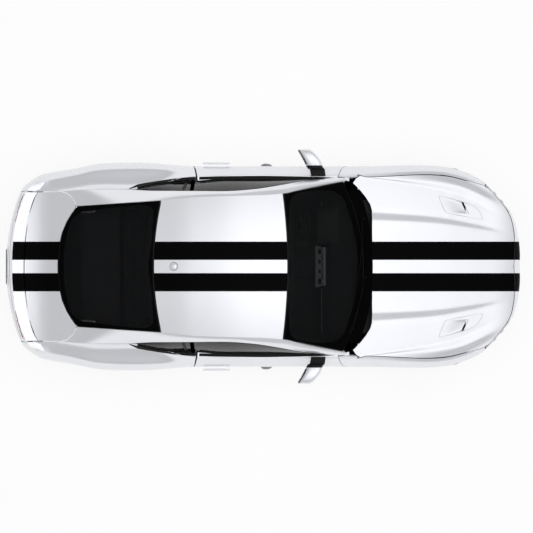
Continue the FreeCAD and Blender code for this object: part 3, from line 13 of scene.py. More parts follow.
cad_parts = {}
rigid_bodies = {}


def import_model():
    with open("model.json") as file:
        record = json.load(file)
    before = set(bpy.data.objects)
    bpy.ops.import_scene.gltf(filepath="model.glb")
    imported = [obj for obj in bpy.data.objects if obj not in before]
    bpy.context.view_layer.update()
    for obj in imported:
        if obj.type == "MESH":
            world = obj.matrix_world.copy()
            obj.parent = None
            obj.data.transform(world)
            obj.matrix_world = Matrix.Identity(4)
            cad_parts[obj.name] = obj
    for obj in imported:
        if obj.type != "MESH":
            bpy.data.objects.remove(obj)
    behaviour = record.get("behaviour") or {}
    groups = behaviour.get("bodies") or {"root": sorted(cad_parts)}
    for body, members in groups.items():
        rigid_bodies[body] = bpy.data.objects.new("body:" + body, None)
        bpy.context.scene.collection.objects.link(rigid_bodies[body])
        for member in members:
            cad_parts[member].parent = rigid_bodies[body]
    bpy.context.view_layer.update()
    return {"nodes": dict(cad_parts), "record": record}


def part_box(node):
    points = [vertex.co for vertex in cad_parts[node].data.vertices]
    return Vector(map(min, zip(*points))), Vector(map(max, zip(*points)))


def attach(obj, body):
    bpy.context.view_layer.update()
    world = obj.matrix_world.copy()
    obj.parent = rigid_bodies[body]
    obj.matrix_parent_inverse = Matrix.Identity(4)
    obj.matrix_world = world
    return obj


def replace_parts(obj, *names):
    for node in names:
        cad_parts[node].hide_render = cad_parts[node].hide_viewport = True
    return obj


for thing in list(bpy.data.objects):
    bpy.data.objects.remove(thing, do_unlink=True)

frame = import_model()
NODES = frame["nodes"]
SCENE = bpy.context.scene
SIDES = ((1, "left"), (-1, "right"))
UP = Vector((0, 0, 1))

# The photo was taken from straight above.
EYE = (0.0215, 0.0, 10.5)
FOCAL_LENGTH = 72.2

# The stripes as the photo shows them: half widths at one height, which spread with the distance to EYE.
STRIPE_INNER = 0.0592
STRIPE_OUTER = 0.2225
STRIPE_SPREAD = 0.1047
STRIPE_END = -2.2355

# The sky's brightness, by how near it is to a direction a little ahead of straight up.
SKY_LEAN = (0.3, 0.0, 0.95)
SKY_STOPS = ((0.0, 0.28), (0.5, 0.32), (0.76, 0.42), (0.87, 0.74), (0.95, 1.13), (1.0, 1.27))
# Reflected rays and those through glass see nothing white above the first height, and only white below the second.
BACKDROP_HIGH, BACKDROP_LOW = 0.16, 0.04
GLOW_SHARE = 0.88

SINK = 0.0005
BAND_LIFT = 0.0012
EDGE_GAP = 0.0015
BLISTER_REACH = 0.957
MOULDING_WIDTH = 0.026
TREAD_WIDTH = 0.255
GROOVE_DEPTH = 0.0065
CUT_DEPTH = 0.004
RIM_RADIUS = 0.2355


# Node materials

class Tree:
    """A node tree that is built up socket by socket."""

    def __init__(self, tree, coordinates):
        self.tree = tree
        tree.nodes.clear()
        self.place = self.node("ShaderNodeTexCoord").outputs[coordinates]

    def node(self, kind, **settings):
        made = self.tree.nodes.new(kind)
        for key, value in settings.items():
            setattr(made, key, value)
        return made

    def put(self, socket, value):
        if isinstance(value, bpy.types.NodeSocket):
            self.tree.links.new(value, socket)
        elif isinstance(value, tuple) and len(value) == 3 and socket.type == "RGBA":
            socket.default_value = (*value, 1.0)
        else:
            socket.default_value = value

    def math(self, kind, a, b=0.0):
        made = self.node("ShaderNodeMath", operation=kind)
        self.put(made.inputs[0], a)
        self.put(made.inputs[1], b)
        return made.outputs[0]

    def axes(self):
        made = self.node("ShaderNodeSeparateXYZ")
        self.put(made.inputs[0], self.place)
        return made.outputs

    def between(self, value, low, high, start=0.0, end=1.0):
        made = self.node("ShaderNodeMapRange")
        for key, number in (("From Min", low), ("From Max", high), ("To Min", start), ("To Max", end)):
            made.inputs[key].default_value = number
        self.put(made.inputs["Value"], value)
        return made.outputs[0]

    def mix(self, share, a, b):
        made = self.node("ShaderNodeMix", data_type="RGBA")
        self.put(made.inputs["Factor"], share)
        colours = [s for s in made.inputs if s.type == "RGBA"]
        self.put(colours[0], a)
        self.put(colours[1], b)
        return [s for s in made.outputs if s.type == "RGBA"][0]


class Shader(Tree):
    """The node tree of a new material."""

    def __init__(self, name):
        self.material = bpy.data.materials.new(name)
        self.material.use_nodes = True
        super().__init__(self.material.node_tree, "Object")

    def texture(self, kind, scale, **settings):
        made = self.node("ShaderNodeTex" + kind, **settings)
        self.put(made.inputs["Vector"], self.place)
        made.inputs["Scale"].default_value = scale
        return made

    def noise(self, scale, detail=3.0, rough=0.5):
        made = self.texture("Noise", scale)
        made.inputs["Detail"].default_value = detail
        made.inputs["Roughness"].default_value = rough
        return made.outputs["Fac"]

    def wave(self, scale, direction):
        return self.texture("Wave", scale, bands_direction=direction).outputs["Fac"]

    def cells(self, scale, feature="F1"):
        return self.texture("Voronoi", scale, feature=feature).outputs["Distance"]

    def bump(self, height, strength, distance):
        made = self.node("ShaderNodeBump")
        made.inputs["Strength"].default_value = strength
        made.inputs["Distance"].default_value = distance
        self.put(made.inputs["Height"], height)
        return made.outputs[0]

    def principled(self, **sockets):
        made = self.node("ShaderNodeBsdfPrincipled")
        for key, value in sockets.items():
            self.put(made.inputs[key.replace("_", " ")], value)
        return made.outputs[0]

    def blend(self, share, a, b):
        made = self.node("ShaderNodeMixShader")
        for socket, value in zip(made.inputs, (share, a, b)):
            self.put(socket, value)
        return made.outputs[0]

    def done(self, surface):
        out = self.node("ShaderNodeOutputMaterial")
        self.put(out.inputs["Surface"], surface)
        return self.material


def lacquer(s):
    """White pearl paint: fine flakes and a slight unevenness under a clear coat."""
    colour = s.mix(s.between(s.noise(2.2, 2.0), 0.3, 0.7), (0.86, 0.868, 0.91), (0.89, 0.895, 0.93))
    rough = s.between(s.noise(60.0, 5.0, 0.6), 0.3, 0.8, 0.22, 0.28)
    return s.principled(Base_Color=colour, Metallic=0.55, Roughness=rough,
                        Normal=s.bump(s.cells(2600.0), 0.02, 0.0002),
                        Coat_Weight=0.25, Coat_Roughness=0.06, Specular_IOR_Level=0.4)


def paint():
    s = Shader("pearl_paint")
    return s.done(lacquer(s))


def striped_paint(name, foot=0.0, top_of_foot=0.0):
    """Pearl paint with the two stripes. With a foot they end above it, and below its top all is black."""
    s = Shader(name)
    x, y, z = s.axes()
    side = s.math("ABSOLUTE", y)
    width = s.math("MULTIPLY", s.math("SUBTRACT", EYE[2], z), STRIPE_SPREAD)
    inner = s.math("GREATER_THAN", side, s.math("MULTIPLY", width, STRIPE_INNER))
    outer = s.math("LESS_THAN", side, s.math("MULTIPLY", width, STRIPE_OUTER))
    mask = s.math("MULTIPLY", s.math("MULTIPLY", inner, outer), s.math("GREATER_THAN", x, STRIPE_END))
    if foot:
        mask = s.math("MULTIPLY", mask, s.math("GREATER_THAN", z, foot))
        mask = s.math("MAXIMUM", mask, s.math("LESS_THAN", z, top_of_foot))
    dust = s.noise(70.0, 4.0)
    film = s.principled(Base_Color=s.mix(dust, (0.0012, 0.0012, 0.0014), (0.0022, 0.0022, 0.0024)),
                        Roughness=s.between(dust, 0.3, 0.8, 0.34, 0.42), Specular_IOR_Level=0.015)
    return s.done(s.blend(mask, lacquer(s), film))


def masked(name, axis, limit):
    """Pearl paint that is black plastic nearer to 0 along an axis than a limit."""
    s = Shader(name)
    cloud = s.noise(9.0, 3.0)
    black = s.principled(Base_Color=s.mix(cloud, (0.004, 0.004, 0.0045), (0.010, 0.010, 0.011)),
                         Roughness=s.between(cloud, 0.2, 0.8, 0.45, 0.58), Specular_IOR_Level=0.2,
                         Normal=s.bump(s.cells(900.0), 0.2, 0.0004))
    mask = s.math("LESS_THAN", s.math("ABSOLUTE", s.axes()[axis]), limit)
    return s.done(s.blend(mask, lacquer(s), black))


def net_with_painted_shade(name):
    """Black plastic with a pattern of cells: the cells are painted near black as the shade behind the holes of a
    net, and the walls between them are lighter.
    """
    s = Shader(name)
    wall = s.between(s.cells(62.0, "DISTANCE_TO_EDGE"), 0.05, 0.16)
    return s.done(s.principled(Base_Color=s.mix(wall, (0.016, 0.016, 0.017), (0.002, 0.002, 0.002)),
                               Roughness=s.between(s.noise(12.0, 3.0), 0.2, 0.8, 0.5, 0.65),
                               Specular_IOR_Level=0.12, Normal=s.bump(wall, 0.5, 0.003)))


def clouded(name, noise, dark, light, rough, relief=None, **sockets):
    """A material whose colour and roughness follow one noise. A relief is a texture, a strength and a depth."""
    s = Shader(name)
    cloud = s.noise(*noise)
    if isinstance(rough, tuple):
        rough = s.between(cloud, 0.2, 0.8, *rough)
    if relief:
        texture, strength, depth = relief
        sockets["Normal"] = s.bump(texture(s), strength, depth)
    return s.done(s.principled(Base_Color=s.mix(cloud, dark, light), Roughness=rough, **sockets))


def glass(name, alpha, shine):
    return clouded(name, (7.0, 4.0, 0.55), (0.004, 0.0045, 0.005), (0.008, 0.0085, 0.009), (0.02, 0.05),
                   Alpha=alpha, Specular_IOR_Level=shine)


def plastic(name, dark, light, rough, grain=900.0, depth=0.25, shine=0.25):
    return clouded(name, (9.0, 3.0), dark, light, (rough - 0.06, rough + 0.06),
                   (lambda s: s.cells(grain), depth, 0.0004), Specular_IOR_Level=shine)


def metal(name, dark, light, rough, metallic=1.0, grain=40.0, depth=0.1):
    return clouded(name, (grain, 5.0, 0.6), dark, light, (rough - 0.07, rough + 0.07),
                   (lambda s: s.noise(grain * 8, 2.0), depth, 0.0005), Metallic=metallic)


def lens(name, dark, light, rough):
    return clouded(name, (20.0, 3.0), dark, light, rough, (lambda s: s.cells(140.0), 0.2, 0.001),
                   Coat_Weight=0.9, Coat_Roughness=0.03)


# The material of each slot of the record.
FINISHES = {
    "body_paint": paint(),
    "tinted_glass": glass("tinted_glass", 0.47, 0.07),
    "lamp_glass": clouded("lamp_glass", (11.0, 3.0), (0.045, 0.05, 0.056), (0.09, 0.095, 0.105), 0.12,
                          (lambda s: s.wave(34.0, "Y"), 0.15, 0.002),
                          Metallic=0.3, Coat_Weight=1.0, Coat_Roughness=0.02),
    "lamp_red": clouded("lamp_red", (11.0, 3.0), (0.22, 0.004, 0.006), (0.34, 0.008, 0.01), 0.14,
                        (lambda s: s.wave(60.0, "Z"), 0.2, 0.002), Coat_Weight=0.8, Coat_Roughness=0.03),
    "black_plastic": plastic("black_plastic", (0.008, 0.008, 0.0085), (0.016, 0.016, 0.017), 0.55),
    "black_steel": metal("black_steel", (0.018, 0.018, 0.02), (0.035, 0.035, 0.038), 0.5, 0.3),
    "seat_fabric": clouded("seat_fabric", (18.0, 4.0), (0.012, 0.012, 0.014), (0.03, 0.03, 0.034), 0.86,
                           (lambda s: s.math("MULTIPLY", s.wave(260.0, "X"), s.wave(260.0, "Z")), 0.5, 0.0008),
                           Sheen_Weight=0.25, Sheen_Roughness=0.4),
    "black_leather": clouded("black_leather", (12.0, 3.0), (0.01, 0.01, 0.011), (0.025, 0.025, 0.027),
                             (0.42, 0.55), (lambda s: s.cells(420.0, "DISTANCE_TO_EDGE"), 0.35, 0.0006)),
    "engine_alloy": metal("engine_alloy", (0.32, 0.33, 0.35), (0.48, 0.49, 0.5), 0.45),
    "bare_iron": metal("bare_iron", (0.12, 0.115, 0.11), (0.22, 0.21, 0.2), 0.5),
    "exhaust_steel": metal("exhaust_steel", (0.42, 0.4, 0.38), (0.6, 0.59, 0.57), 0.3),
    "wheel_alloy": metal("wheel_alloy", (0.06, 0.06, 0.065), (0.1, 0.1, 0.107), 0.34, 0.8, 25.0, 0.04),
    "tyre_rubber": clouded("tyre_rubber", (14.0, 5.0, 0.6), (0.009, 0.009, 0.0095), (0.022, 0.021, 0.02),
                           (0.62, 0.82), (lambda s: s.noise(400.0, 3.0), 0.3, 0.0006), Specular_IOR_Level=0.25),
}
SATIN_BLACK = metal("satin_black_metal", (0.012, 0.012, 0.013), (0.022, 0.022, 0.024), 0.42, 0.3, 30.0, 0.05)
BRIGHT = metal("bright_metal", (0.5, 0.5, 0.51), (0.66, 0.66, 0.67), 0.22, 1.0, 22.0, 0.03)
DASH = metal("dash_metal", (0.56, 0.56, 0.60), (0.70, 0.70, 0.74), 0.45, 0.3, 26.0, 0.05)
TRIM = plastic("dark_trim", (0.006, 0.006, 0.0065), (0.012, 0.012, 0.013), 0.5, 700.0, 0.2)
GLOSS = plastic("gloss_black", (0.003, 0.003, 0.0035), (0.006, 0.006, 0.0065), 0.18, 300.0, 0.05)
COWL = plastic("cowl_black", (0.0008, 0.0008, 0.0009), (0.0018, 0.0018, 0.002), 0.7, 900.0, 0.15, 0.02)
SIDE_GLASS = glass("side_glass", 0.7, 0.5)
STRIPED = striped_paint("striped_paint")
MIRROR_PAINT = masked("mirror_paint", 1, 0.892)

# CAD nodes that look different from the rest of their slot.
OWN_FINISHES = {
    "hood": STRIPED, "roof_panel": STRIPED, "trunk_lid": STRIPED, "rear_spoiler": STRIPED,
    "front_bumper": striped_paint("nose_paint", 0.60, 0.235), "rear_bumper": masked("tail_paint", 2, 0.33),
    "mirror_left": MIRROR_PAINT, "mirror_right": MIRROR_PAINT, "cowl_panel": COWL, "cabin_frame": COWL,
    "door_left_glass": SIDE_GLASS, "door_right_glass": SIDE_GLASS, "quarter_glass": SIDE_GLASS,
}

# The looks of the scene's own pieces, by the slot that each belongs to.
OWN_LOOKS = {
    "black_plastic": {
        # The net look is a net pattern on a solid sheet, with painted shade in its cells.
        "trim": TRIM, "gloss": GLOSS, "dash": DASH, "net": net_with_painted_shade("intake_net_and_shade"),
        "seal": plastic("rubber_trim", (0.002, 0.002, 0.0022), (0.005, 0.005, 0.0055), 0.55, 1200.0, 0.2),
        "wiper": plastic("wiper_black", (0.002, 0.002, 0.0022), (0.004, 0.004, 0.0044), 0.6, 700.0, 0.1, 0.06),
        "glaze": clouded("black_glaze", (16.0, 3.0), (0.0012, 0.0012, 0.0014), (0.0024, 0.0024, 0.0026),
                         (0.22, 0.32), Specular_IOR_Level=0.012),
    },
    "body_paint": {
        "pale": metal("pale_metal", (0.34, 0.34, 0.35), (0.46, 0.46, 0.47), 0.35, 0.6, 30.0, 0.03),
        # A grey line round each hood vent: painted shade along the edge of the vent's recess.
        "vent_shade_line": plastic("vent_shade_line", (0.22, 0.22, 0.23), (0.30, 0.30, 0.31), 0.5, 600.0, 0.1),
        "plate": clouded("blank_plate", (30.0, 3.0), (0.84, 0.85, 0.86), (0.9, 0.9, 0.91), (0.32, 0.42),
                         (lambda s: s.cells(1600.0), 0.12, 0.0003)),
    },
    "tinted_glass": {"mirror": clouded("mirror_glass", (24.0, 4.0), (0.30, 0.32, 0.35), (0.36, 0.38, 0.41),
                                       (0.03, 0.07), Metallic=1.0)},
    "lamp_glass": {"lens": lens("lamp_lens", (0.5, 0.53, 0.58), (0.7, 0.72, 0.75), 0.06)},
    "lamp_red": {"red_lens": lens("lamp_lens_red", (0.4, 0.01, 0.012), (0.5, 0.02, 0.02), 0.1)},
    "wheel_alloy": {
        "cap": GLOSS,
        "rim": metal("machined_rim", (0.42, 0.42, 0.44), (0.55, 0.55, 0.57), 0.26, 1.0, 18.0, 0.03),
    },
    "black_leather": {
        "seam": DASH, "horn": TRIM,
        "horn_ring": metal("brushed_trim", (0.10, 0.10, 0.11), (0.17, 0.17, 0.18), 0.38, 0.8, 26.0, 0.06),
    },
    "bare_iron": {"bright": BRIGHT, "exhaust_mouth": SATIN_BLACK},
    "exhaust_steel": {"exhaust_tip": BRIGHT},
    "black_steel": {"rail": SATIN_BLACK},
    "seat_fabric": {"head_rest": FINISHES["black_leather"]},
}
LOOKS = {slot: (material, slot) for slot, material in FINISHES.items()}
for slot, looks in OWN_LOOKS.items():
    LOOKS.update({look: (material, slot) for look, material in looks.items()})

SLOTS = {row["node"]: row["material_slot"] for row in frame["record"]["subparts"]}
for name, node in NODES.items():
    node.data.materials.clear()
    node.data.materials.append(OWN_FINISHES.get(name, FINISHES[SLOTS[name]]))


# Making meshes on the frame

def spread(start, end, steps):
    """Numbers in even steps from one to another."""
    return [start + (end - start) * k / steps for k in range(steps + 1)]


def shares(steps):
    """Numbers in even steps from 0 to 1."""
    return spread(0.0, 1.0, steps)


def circle(count):
    """Pairs of cosine and sine in even steps round a circle."""
    return [(cos(2 * pi * k / count), sin(2 * pi * k / count)) for k in range(count)]


def squared(value, power):
    """A cosine or sine brought nearer to 1 or -1 by a power below 1."""
    return copysign(abs(value) ** power, value)


def border(inside, near, far, rounds):
    """The last place that is still inside, between one that is and one that isn't."""
    for _ in range(rounds):
        middle = (near + far) / 2
        if inside(middle):
            near = middle
        else:
            far = middle
    return near


class Surface:
    """The surface of some CAD nodes, to lay pieces on."""

    def __init__(self, *names):
        points, faces = [], []
        for name in names:
            mesh = NODES[name].data
            start = len(points)
            points += [v.co.copy() for v in mesh.vertices]
            faces += [[start + i for i in p.vertices] for p in mesh.polygons]
        self.tree = BVHTree.FromPolygons(points, faces)

    def cast(self, start, way):
        """The place where a ray meets the surface and the normal there, or two times None."""
        return self.tree.ray_cast(Vector(start), Vector(way))[:2]

    def down(self, x, y):
        return self.cast((x, y, 3), (0, 0, -1))

    def along(self, y, z, side):
        return self.cast((side * 5, y, z), (-side, 0, 0))

    def across(self, x, z, side):
        place, normal = self.cast((x, side * 3, z), (0, -side, 0))
        return place, -normal if normal is not None and normal.y * side <= 0 else normal


def grid_faces(rows, cols, start=0, wrap=False):
    faces = []
    for i in range(rows - 1):
        for j in range(cols if wrap else cols - 1):
            a, b = start + i * cols + j, start + i * cols + (j + 1) % cols
            faces.append((a, b, b + cols, a + cols))
    return faces


def barrel_faces(rows, cols):
    """The faces of rings of points, with both ends closed."""
    ends = [tuple(reversed(range(cols))), tuple(range((rows - 1) * cols, rows * cols))]
    return grid_faces(rows, cols, 0, True) + ends


def placed(name, data):
    thing = bpy.data.objects.new(name, data)
    SCENE.collection.objects.link(thing)
    return thing


def piece(name, points, faces, look, body="body", angle=32):
    finish, slot = LOOKS[look]
    mesh = bpy.data.meshes.new(name)
    mesh.from_pydata([tuple(p) for p in points], [], faces)
    work = bmesh.new()
    work.from_mesh(mesh)
    bmesh.ops.recalc_face_normals(work, faces=work.faces)
    work.to_mesh(mesh)
    work.free()
    for polygon in mesh.polygons:
        polygon.use_smooth = True
    mesh.set_sharp_from_angle(angle=radians(angle))
    mesh.materials.append(finish)
    thing = placed(name, mesh)
    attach(thing, body)
    return thing


def softened(thing, width, segments=2):
    """Rounds the piece's edges."""
    edge = thing.modifiers.new("edge", "BEVEL")
    edge.width = width
    edge.segments = segments
    edge.limit_method = "ANGLE"
    edge.angle_limit = radians(30)
    edge.harden_normals = True
    return thing


def shell(name, top, low, rows, cols, look, body="body", wrap=False):
    """A closed piece between two grids of points, the second one under the first."""
    count = rows * cols
    last = count - cols
    faces = grid_faces(rows, cols, 0, wrap)
    faces += [tuple(reversed(f)) for f in grid_faces(rows, cols, count, wrap)]
    for j in range(cols if wrap else cols - 1):
        k = (j + 1) % cols
        faces += [(j, k, count + k, count + j), (last + j, last + k, count + last + k, count + last + j)]
    if not wrap:
        for i in range(0, last, cols):
            for a in (i, i + cols - 1):
                faces.append((a, a + cols, count + a + cols, count + a))
    return piece(name, top + low, faces, look, body)


def slab(name, rows, lift, look, body="body", sink=SINK, wrap=False):
    """A closed sheet on rows of places and normals, lifted over the surface and sunk into it.

    A row in which a ray met nothing is left out.
    """
    rows = [row for row in rows if all(place is not None for place, _ in row)]
    top = [place + normal * lift for row in rows for place, normal in row]
    low = [place - normal * sink for row in rows for place, normal in row]
    return shell(name, top, low, len(rows), len(rows[0]), look, body, wrap)


def band(name, feel, outer, inner, lift, look, body="body", steps=4, sink=SINK):
    """A closed band on a surface between two loops seen from above."""
    rows = [[feel(x0 + (x1 - x0) * u, y0 + (y1 - y0) * u) for (x0, y0), (x1, y1) in zip(outer, inner)]
            for u in shares(steps)]
    return slab(name, rows, lift, look, body, sink, wrap=True)


def edge_loop(feel, centre, count, gap):
    """The edge of what lies round a point, found by feeling outwards, and moved in by a gap."""
    loop = []
    for c, s in circle(count):
        far = border(lambda d: feel(centre[0] + c * d, centre[1] + s * d)[0] is not None, 0.02, 1.6, 22) - gap
        loop.append((centre[0] + c * far, centre[1] + s * far))
    return loop


def polar_loop(corners, centre, count, radius):
    """A rounded outline through corners, as points at even angles round a centre."""
    dense = []
    total = len(corners)
    for i in range(total):
        a, b, c = Vector(corners[i - 1]), Vector(corners[i]), Vector(corners[(i + 1) % total])
        reach = min(radius, (a - b).length * 0.48, (c - b).length * 0.48)
        start, end = b + (a - b).normalized() * reach, b + (c - b).normalized() * reach
        dense += [start * (1 - u) ** 2 + b * 2 * u * (1 - u) + end * u ** 2 for u in shares(8)]
    loop = []
    middle = Vector(centre)
    for way in map(Vector, circle(count)):
        best = 0.0
        for i, p in enumerate(dense):
            a, b = p - middle, dense[(i + 1) % len(dense)] - middle
            run = b - a
            cross = way.x * run.y - way.y * run.x
            if abs(cross) < 1e-12:
                continue
            far = (a.x * run.y - a.y * run.x) / cross
            share = (a.x * way.y - a.y * way.x) / cross
            if far > 0 and -1e-6 <= share <= 1 + 1e-6:
                best = max(best, far)
        loop.append(tuple(middle + way * best))
    return loop


def tube(name, points, radius, look, body="body", closed=False, sides=10):
    """A round bar along a smooth line."""
    line = [Vector(p) for p in points]
    dense = []
    total = len(line)
    for i in range(total if closed else total - 1):
        a = line[i - 1] if closed or i else line[0]
        b, c = line[i], line[(i + 1) % total]
        d = line[(i + 2) % total] if closed or i + 2 < total else line[-1]
        dense += [0.5 * ((2 * b) + (c - a) * u + (2 * a - 5 * b + 4 * c - d) * u * u
                         + (3 * b - a - 3 * c + d) * u ** 3) for u in shares(8)[:-1]]
    if not closed:
        dense.append(line[-1])
    count = len(dense)
    verts, up = [], UP
    for i, p in enumerate(dense):
        ahead = dense[(i + 1) % count] if closed or i + 1 < count else p
        behind = dense[i - 1] if closed or i else p
        along = (ahead - behind).normalized()
        if abs(along.dot(up)) > 0.95:
            up = Vector((0, 1, 0)) if abs(along.y) < 0.9 else Vector((1, 0, 0))
        side = along.cross(up).normalized()
        up = side.cross(along).normalized()
        verts += [p + side * c * radius + up * s * radius for c, s in circle(sides)]
    if closed:
        last = (count - 1) * sides
        faces = grid_faces(count, sides, 0, True)
        faces += [(last + j, last + (j + 1) % sides, (j + 1) % sides, j) for j in range(sides)]
    else:
        faces = barrel_faces(count, sides)
    return piece(name, verts, faces, look, body, 60)


def turned(name, profile, centre, axis, look, body="body", segments=48):
    """A turned piece: pairs of distance along the axis and radius, the ends closed."""
    axis = Vector(axis).normalized()
    side = axis.cross(UP if abs(axis.z) < 0.9 else Vector((1, 0, 0))).normalized()
    up = axis.cross(side)
    verts = [Vector(centre) + axis * along + (side * c + up * s) * radius
             for along, radius in profile for c, s in circle(segments)]
    return piece(name, verts, barrel_faces(len(profile), segments), look, body)


def block(name, low, high, look, body="body", round_by=0.004, taper=0.0):
    """A rounded bar between two corners, narrower at its top by a taper."""
    (x0, y0, z0), (x1, y1, z1) = low, high
    points = [(x0, y0, z0), (x1, y0, z0), (x1, y1, z0), (x0, y1, z0),
              (x0 + taper, y0 + taper, z1), (x1 - taper, y0 + taper, z1),
              (x1 - taper, y1 - taper, z1), (x0 + taper, y1 - taper, z1)]
    faces = [(0, 3, 2, 1), (4, 5, 6, 7), (0, 1, 5, 4), (1, 2, 6, 5), (2, 3, 7, 6), (3, 0, 4, 7)]
    return softened(piece(name, points, faces, look, body), round_by, 3)


# Windows

def window_band(node, centre, count, half, radius):
    """The black edge of a large window. Its inner outline is given for the left half."""
    feel = Surface(node).down
    corners = half + [(x, -y) for x, y in reversed(half[1:])]
    band(node + "_edge_band", feel, edge_loop(feel, centre, count, EDGE_GAP),
         polar_loop(corners, centre, count, radius), BAND_LIFT, "glaze")


def window_bands():
    window_band("windscreen", (0.52, 0.0), 176,
                [(0.215, 0.0), (0.208, 0.30), (0.226, 0.625), (0.44, 0.668), (0.61, 0.672), (0.703, 0.62),
                 (0.79, 0.36), (0.832, 0.12)], 0.09)
    window_band("rear_window", (-1.36, 0.0), 160,
                [(-0.995, 0.0), (-0.985, 0.10), (-0.965, 0.20), (-0.95, 0.50), (-1.02, 0.535), (-1.30, 0.515),
                 (-1.60, 0.485), (-1.70, 0.42), (-1.745, 0.26), (-1.768, 0.12)], 0.05)


def window_span(feel, x, side):
    """The lowest and the highest place at which a ray from the side meets a window."""
    def inside(z):
        return feel(x, z, side)[0] is not None

    lowest, highest, step = 0.8, 1.4, 0.01
    z = lowest
    while not inside(z):
        z += step
        if z >= highest:
            return 0.0, 0.0
    low = border(inside, z, z - step, 10)
    z = low + 0.004
    while inside(z + step) and z < highest:
        z += step
    return low, border(inside, z, z + step, 10)


def side_window_trims():
    """Strips along the lower and upper edges of the side windows, and one on the pillar between them."""
    strips = (("belt", 0.006, 0, (0.0006, 0.008, 0.017)), ("top", 0.002, 1, (-0.014, -0.007, -0.0006)))
    for side, name in SIDES:
        door_glass = "door_%s_glass" % name
        windows = (("door", door_glass, "door_%s_body" % name, -0.62, 0.60),
                   ("quarter", "quarter_glass", "body", -1.06, -0.70))
        for tag, node, body, start, end in windows:
            feel = Surface(node).across
            for part, lift, edge, offsets in strips:
                rows = []
                for x in spread(start, end, 40):
                    span = window_span(feel, x, side)
                    if span[1] - span[0] >= 0.03:
                        rows.append([feel(x, span[edge] + d, side) for d in offsets])
                slab("%s_%s_trim_%s" % (tag, part, name), rows, lift, "seal", body)
        feel = Surface(door_glass, "quarter_glass").across
        low, high = window_span(feel, -0.655, side)
        rows = [[feel(x - 0.02 * u, low + 0.004 + (high - low - 0.008) * u, side) for x in (-0.70, -0.686, -0.672)]
                for u in shares(8)]
        slab("pillar_trim_" + name, rows, 0.002, "seal")


# The body's upper edge along the side windows.
BELT_X = (-1.196, -1.160, -1.124, -1.050, -0.981, -0.900, -0.806, -0.710, -0.615, -0.393, -0.011, 0.307, 0.546,
          0.676, 0.735)
BELT_Y = (0.690, 0.712, 0.731, 0.746, 0.757, 0.770, 0.782, 0.790, 0.796, 0.803, 0.808, 0.804, 0.798, 0.790, 0.783)


def reach_of(glass, x, side):
    """How far in from the belt line a window begins, seen from above."""
    for n in range(5, 45):
        if glass(x, side * (interp(x, BELT_X, BELT_Y) - 0.002 * n))[0] is not None:
            return 0.002 * n + 0.004
    return 0.0


def belt_mouldings():
    """The black moulding between the body and the side windows, which narrows towards its ends."""
    for side, name in SIDES:
        door = "door_" + name
        glass = Surface(door + "_glass", "quarter_glass").down
        parts = (("door", door + "_body", -0.598, 0.735, (door,)),
                 ("quarter", "body", -1.194, -0.604, ("quarter_panels", "cabin_rails")))
        for tag, body, start, end, nodes in parts:
            feel = Surface(*nodes).down
            rows = []
            for x in spread(start, end, 60):
                outer = interp(x, BELT_X, BELT_Y) + 0.001
                wide = MOULDING_WIDTH * min(1.0, 0.25 + (x + 1.196) / 0.10, 0.25 + (0.75 - x) / 0.30)
                if tag == "quarter":
                    wide = max(wide, reach_of(glass, max(x, -1.130), side) * min(1.0, (x + 1.197) / 0.067))
                row, level = [], None
                for y in spread(outer, outer - wide, 4):
                    found = [feel(x, side * y)[0], glass(x, side * y)[0]]
                    heights = [p.z for p in found if p is not None and p.z > 0.9]
                    z = max(heights) if heights else level
                    if z is None:
                        break
                    level = z if level is None else max(z, level - 0.003)
                    row.append((Vector((x, side * y, level)), UP))
                if len(row) == 5:
                    rows.append(row)
            softened(slab("belt_%s_%s" % (tag, name), rows, 0.003, "seal", body, 0.003), 0.0012)


def screen_corners():
    """The small painted filler between the foot of the windscreen pillar and the hood's corner."""
    feel = Surface("front_fenders", "cabin_rails", "cowl_panel").down
    near = ((0.700, 0.789), (0.722, 0.795), (0.744, 0.801), (0.764, 0.805))
    far = ((0.714, 0.773), (0.732, 0.769), (0.748, 0.766), (0.762, 0.763))
    for side, name in SIDES:
        rows = []
        for (x0, y0), (x1, y1) in zip(near, far):
            z = feel(x0, side * (y0 + 0.012))[0].z - 0.001
            rows.append([(Vector((x0 + (x1 - x0) * u, side * (y0 + (y1 - y0) * u), z + 0.004 * u)), UP)
                         for u in shares(4)])
        softened(slab("screen_corner_" + name, rows, 0.0, "body_paint", sink=0.004), 0.001)


def door_blisters():
    """A low oval blister on each door."""
    rows, cols = 11, 32
    for side, name in SIDES:
        feel = Surface("door_" + name).across
        widest = max(abs(feel(0.02, z / 100, side)[0].y) for z in range(40, 80, 2))
        height = max(0.018, BLISTER_REACH - widest)
        verts = []
        for reach in spread(1.0, 0.02, rows - 1):
            dome = max(0.0, 1 - reach ** 2.6) ** 0.6
            for c, s in circle(cols):
                x, z = 0.023 + 0.060 * reach * c - 0.014 * (1 - reach), 0.60 + 0.030 * reach * s
                verts.append(Vector((x, feel(x, z, side)[0].y + side * (height * dome - 0.0008), z)))
        count = len(verts)
        verts += [v - Vector((0, side * 0.004, 0)) for v in verts[:cols]]
        faces = grid_faces(rows, cols, 0, True) + [tuple(range(count - cols, count))]
        faces += [(j, (j + 1) % cols, count + (j + 1) % cols, count + j) for j in range(cols)]
        faces.append(tuple(range(count, count + cols)))
        piece("door_blister_" + name, verts, faces, "pale", "door_%s_body" % name)


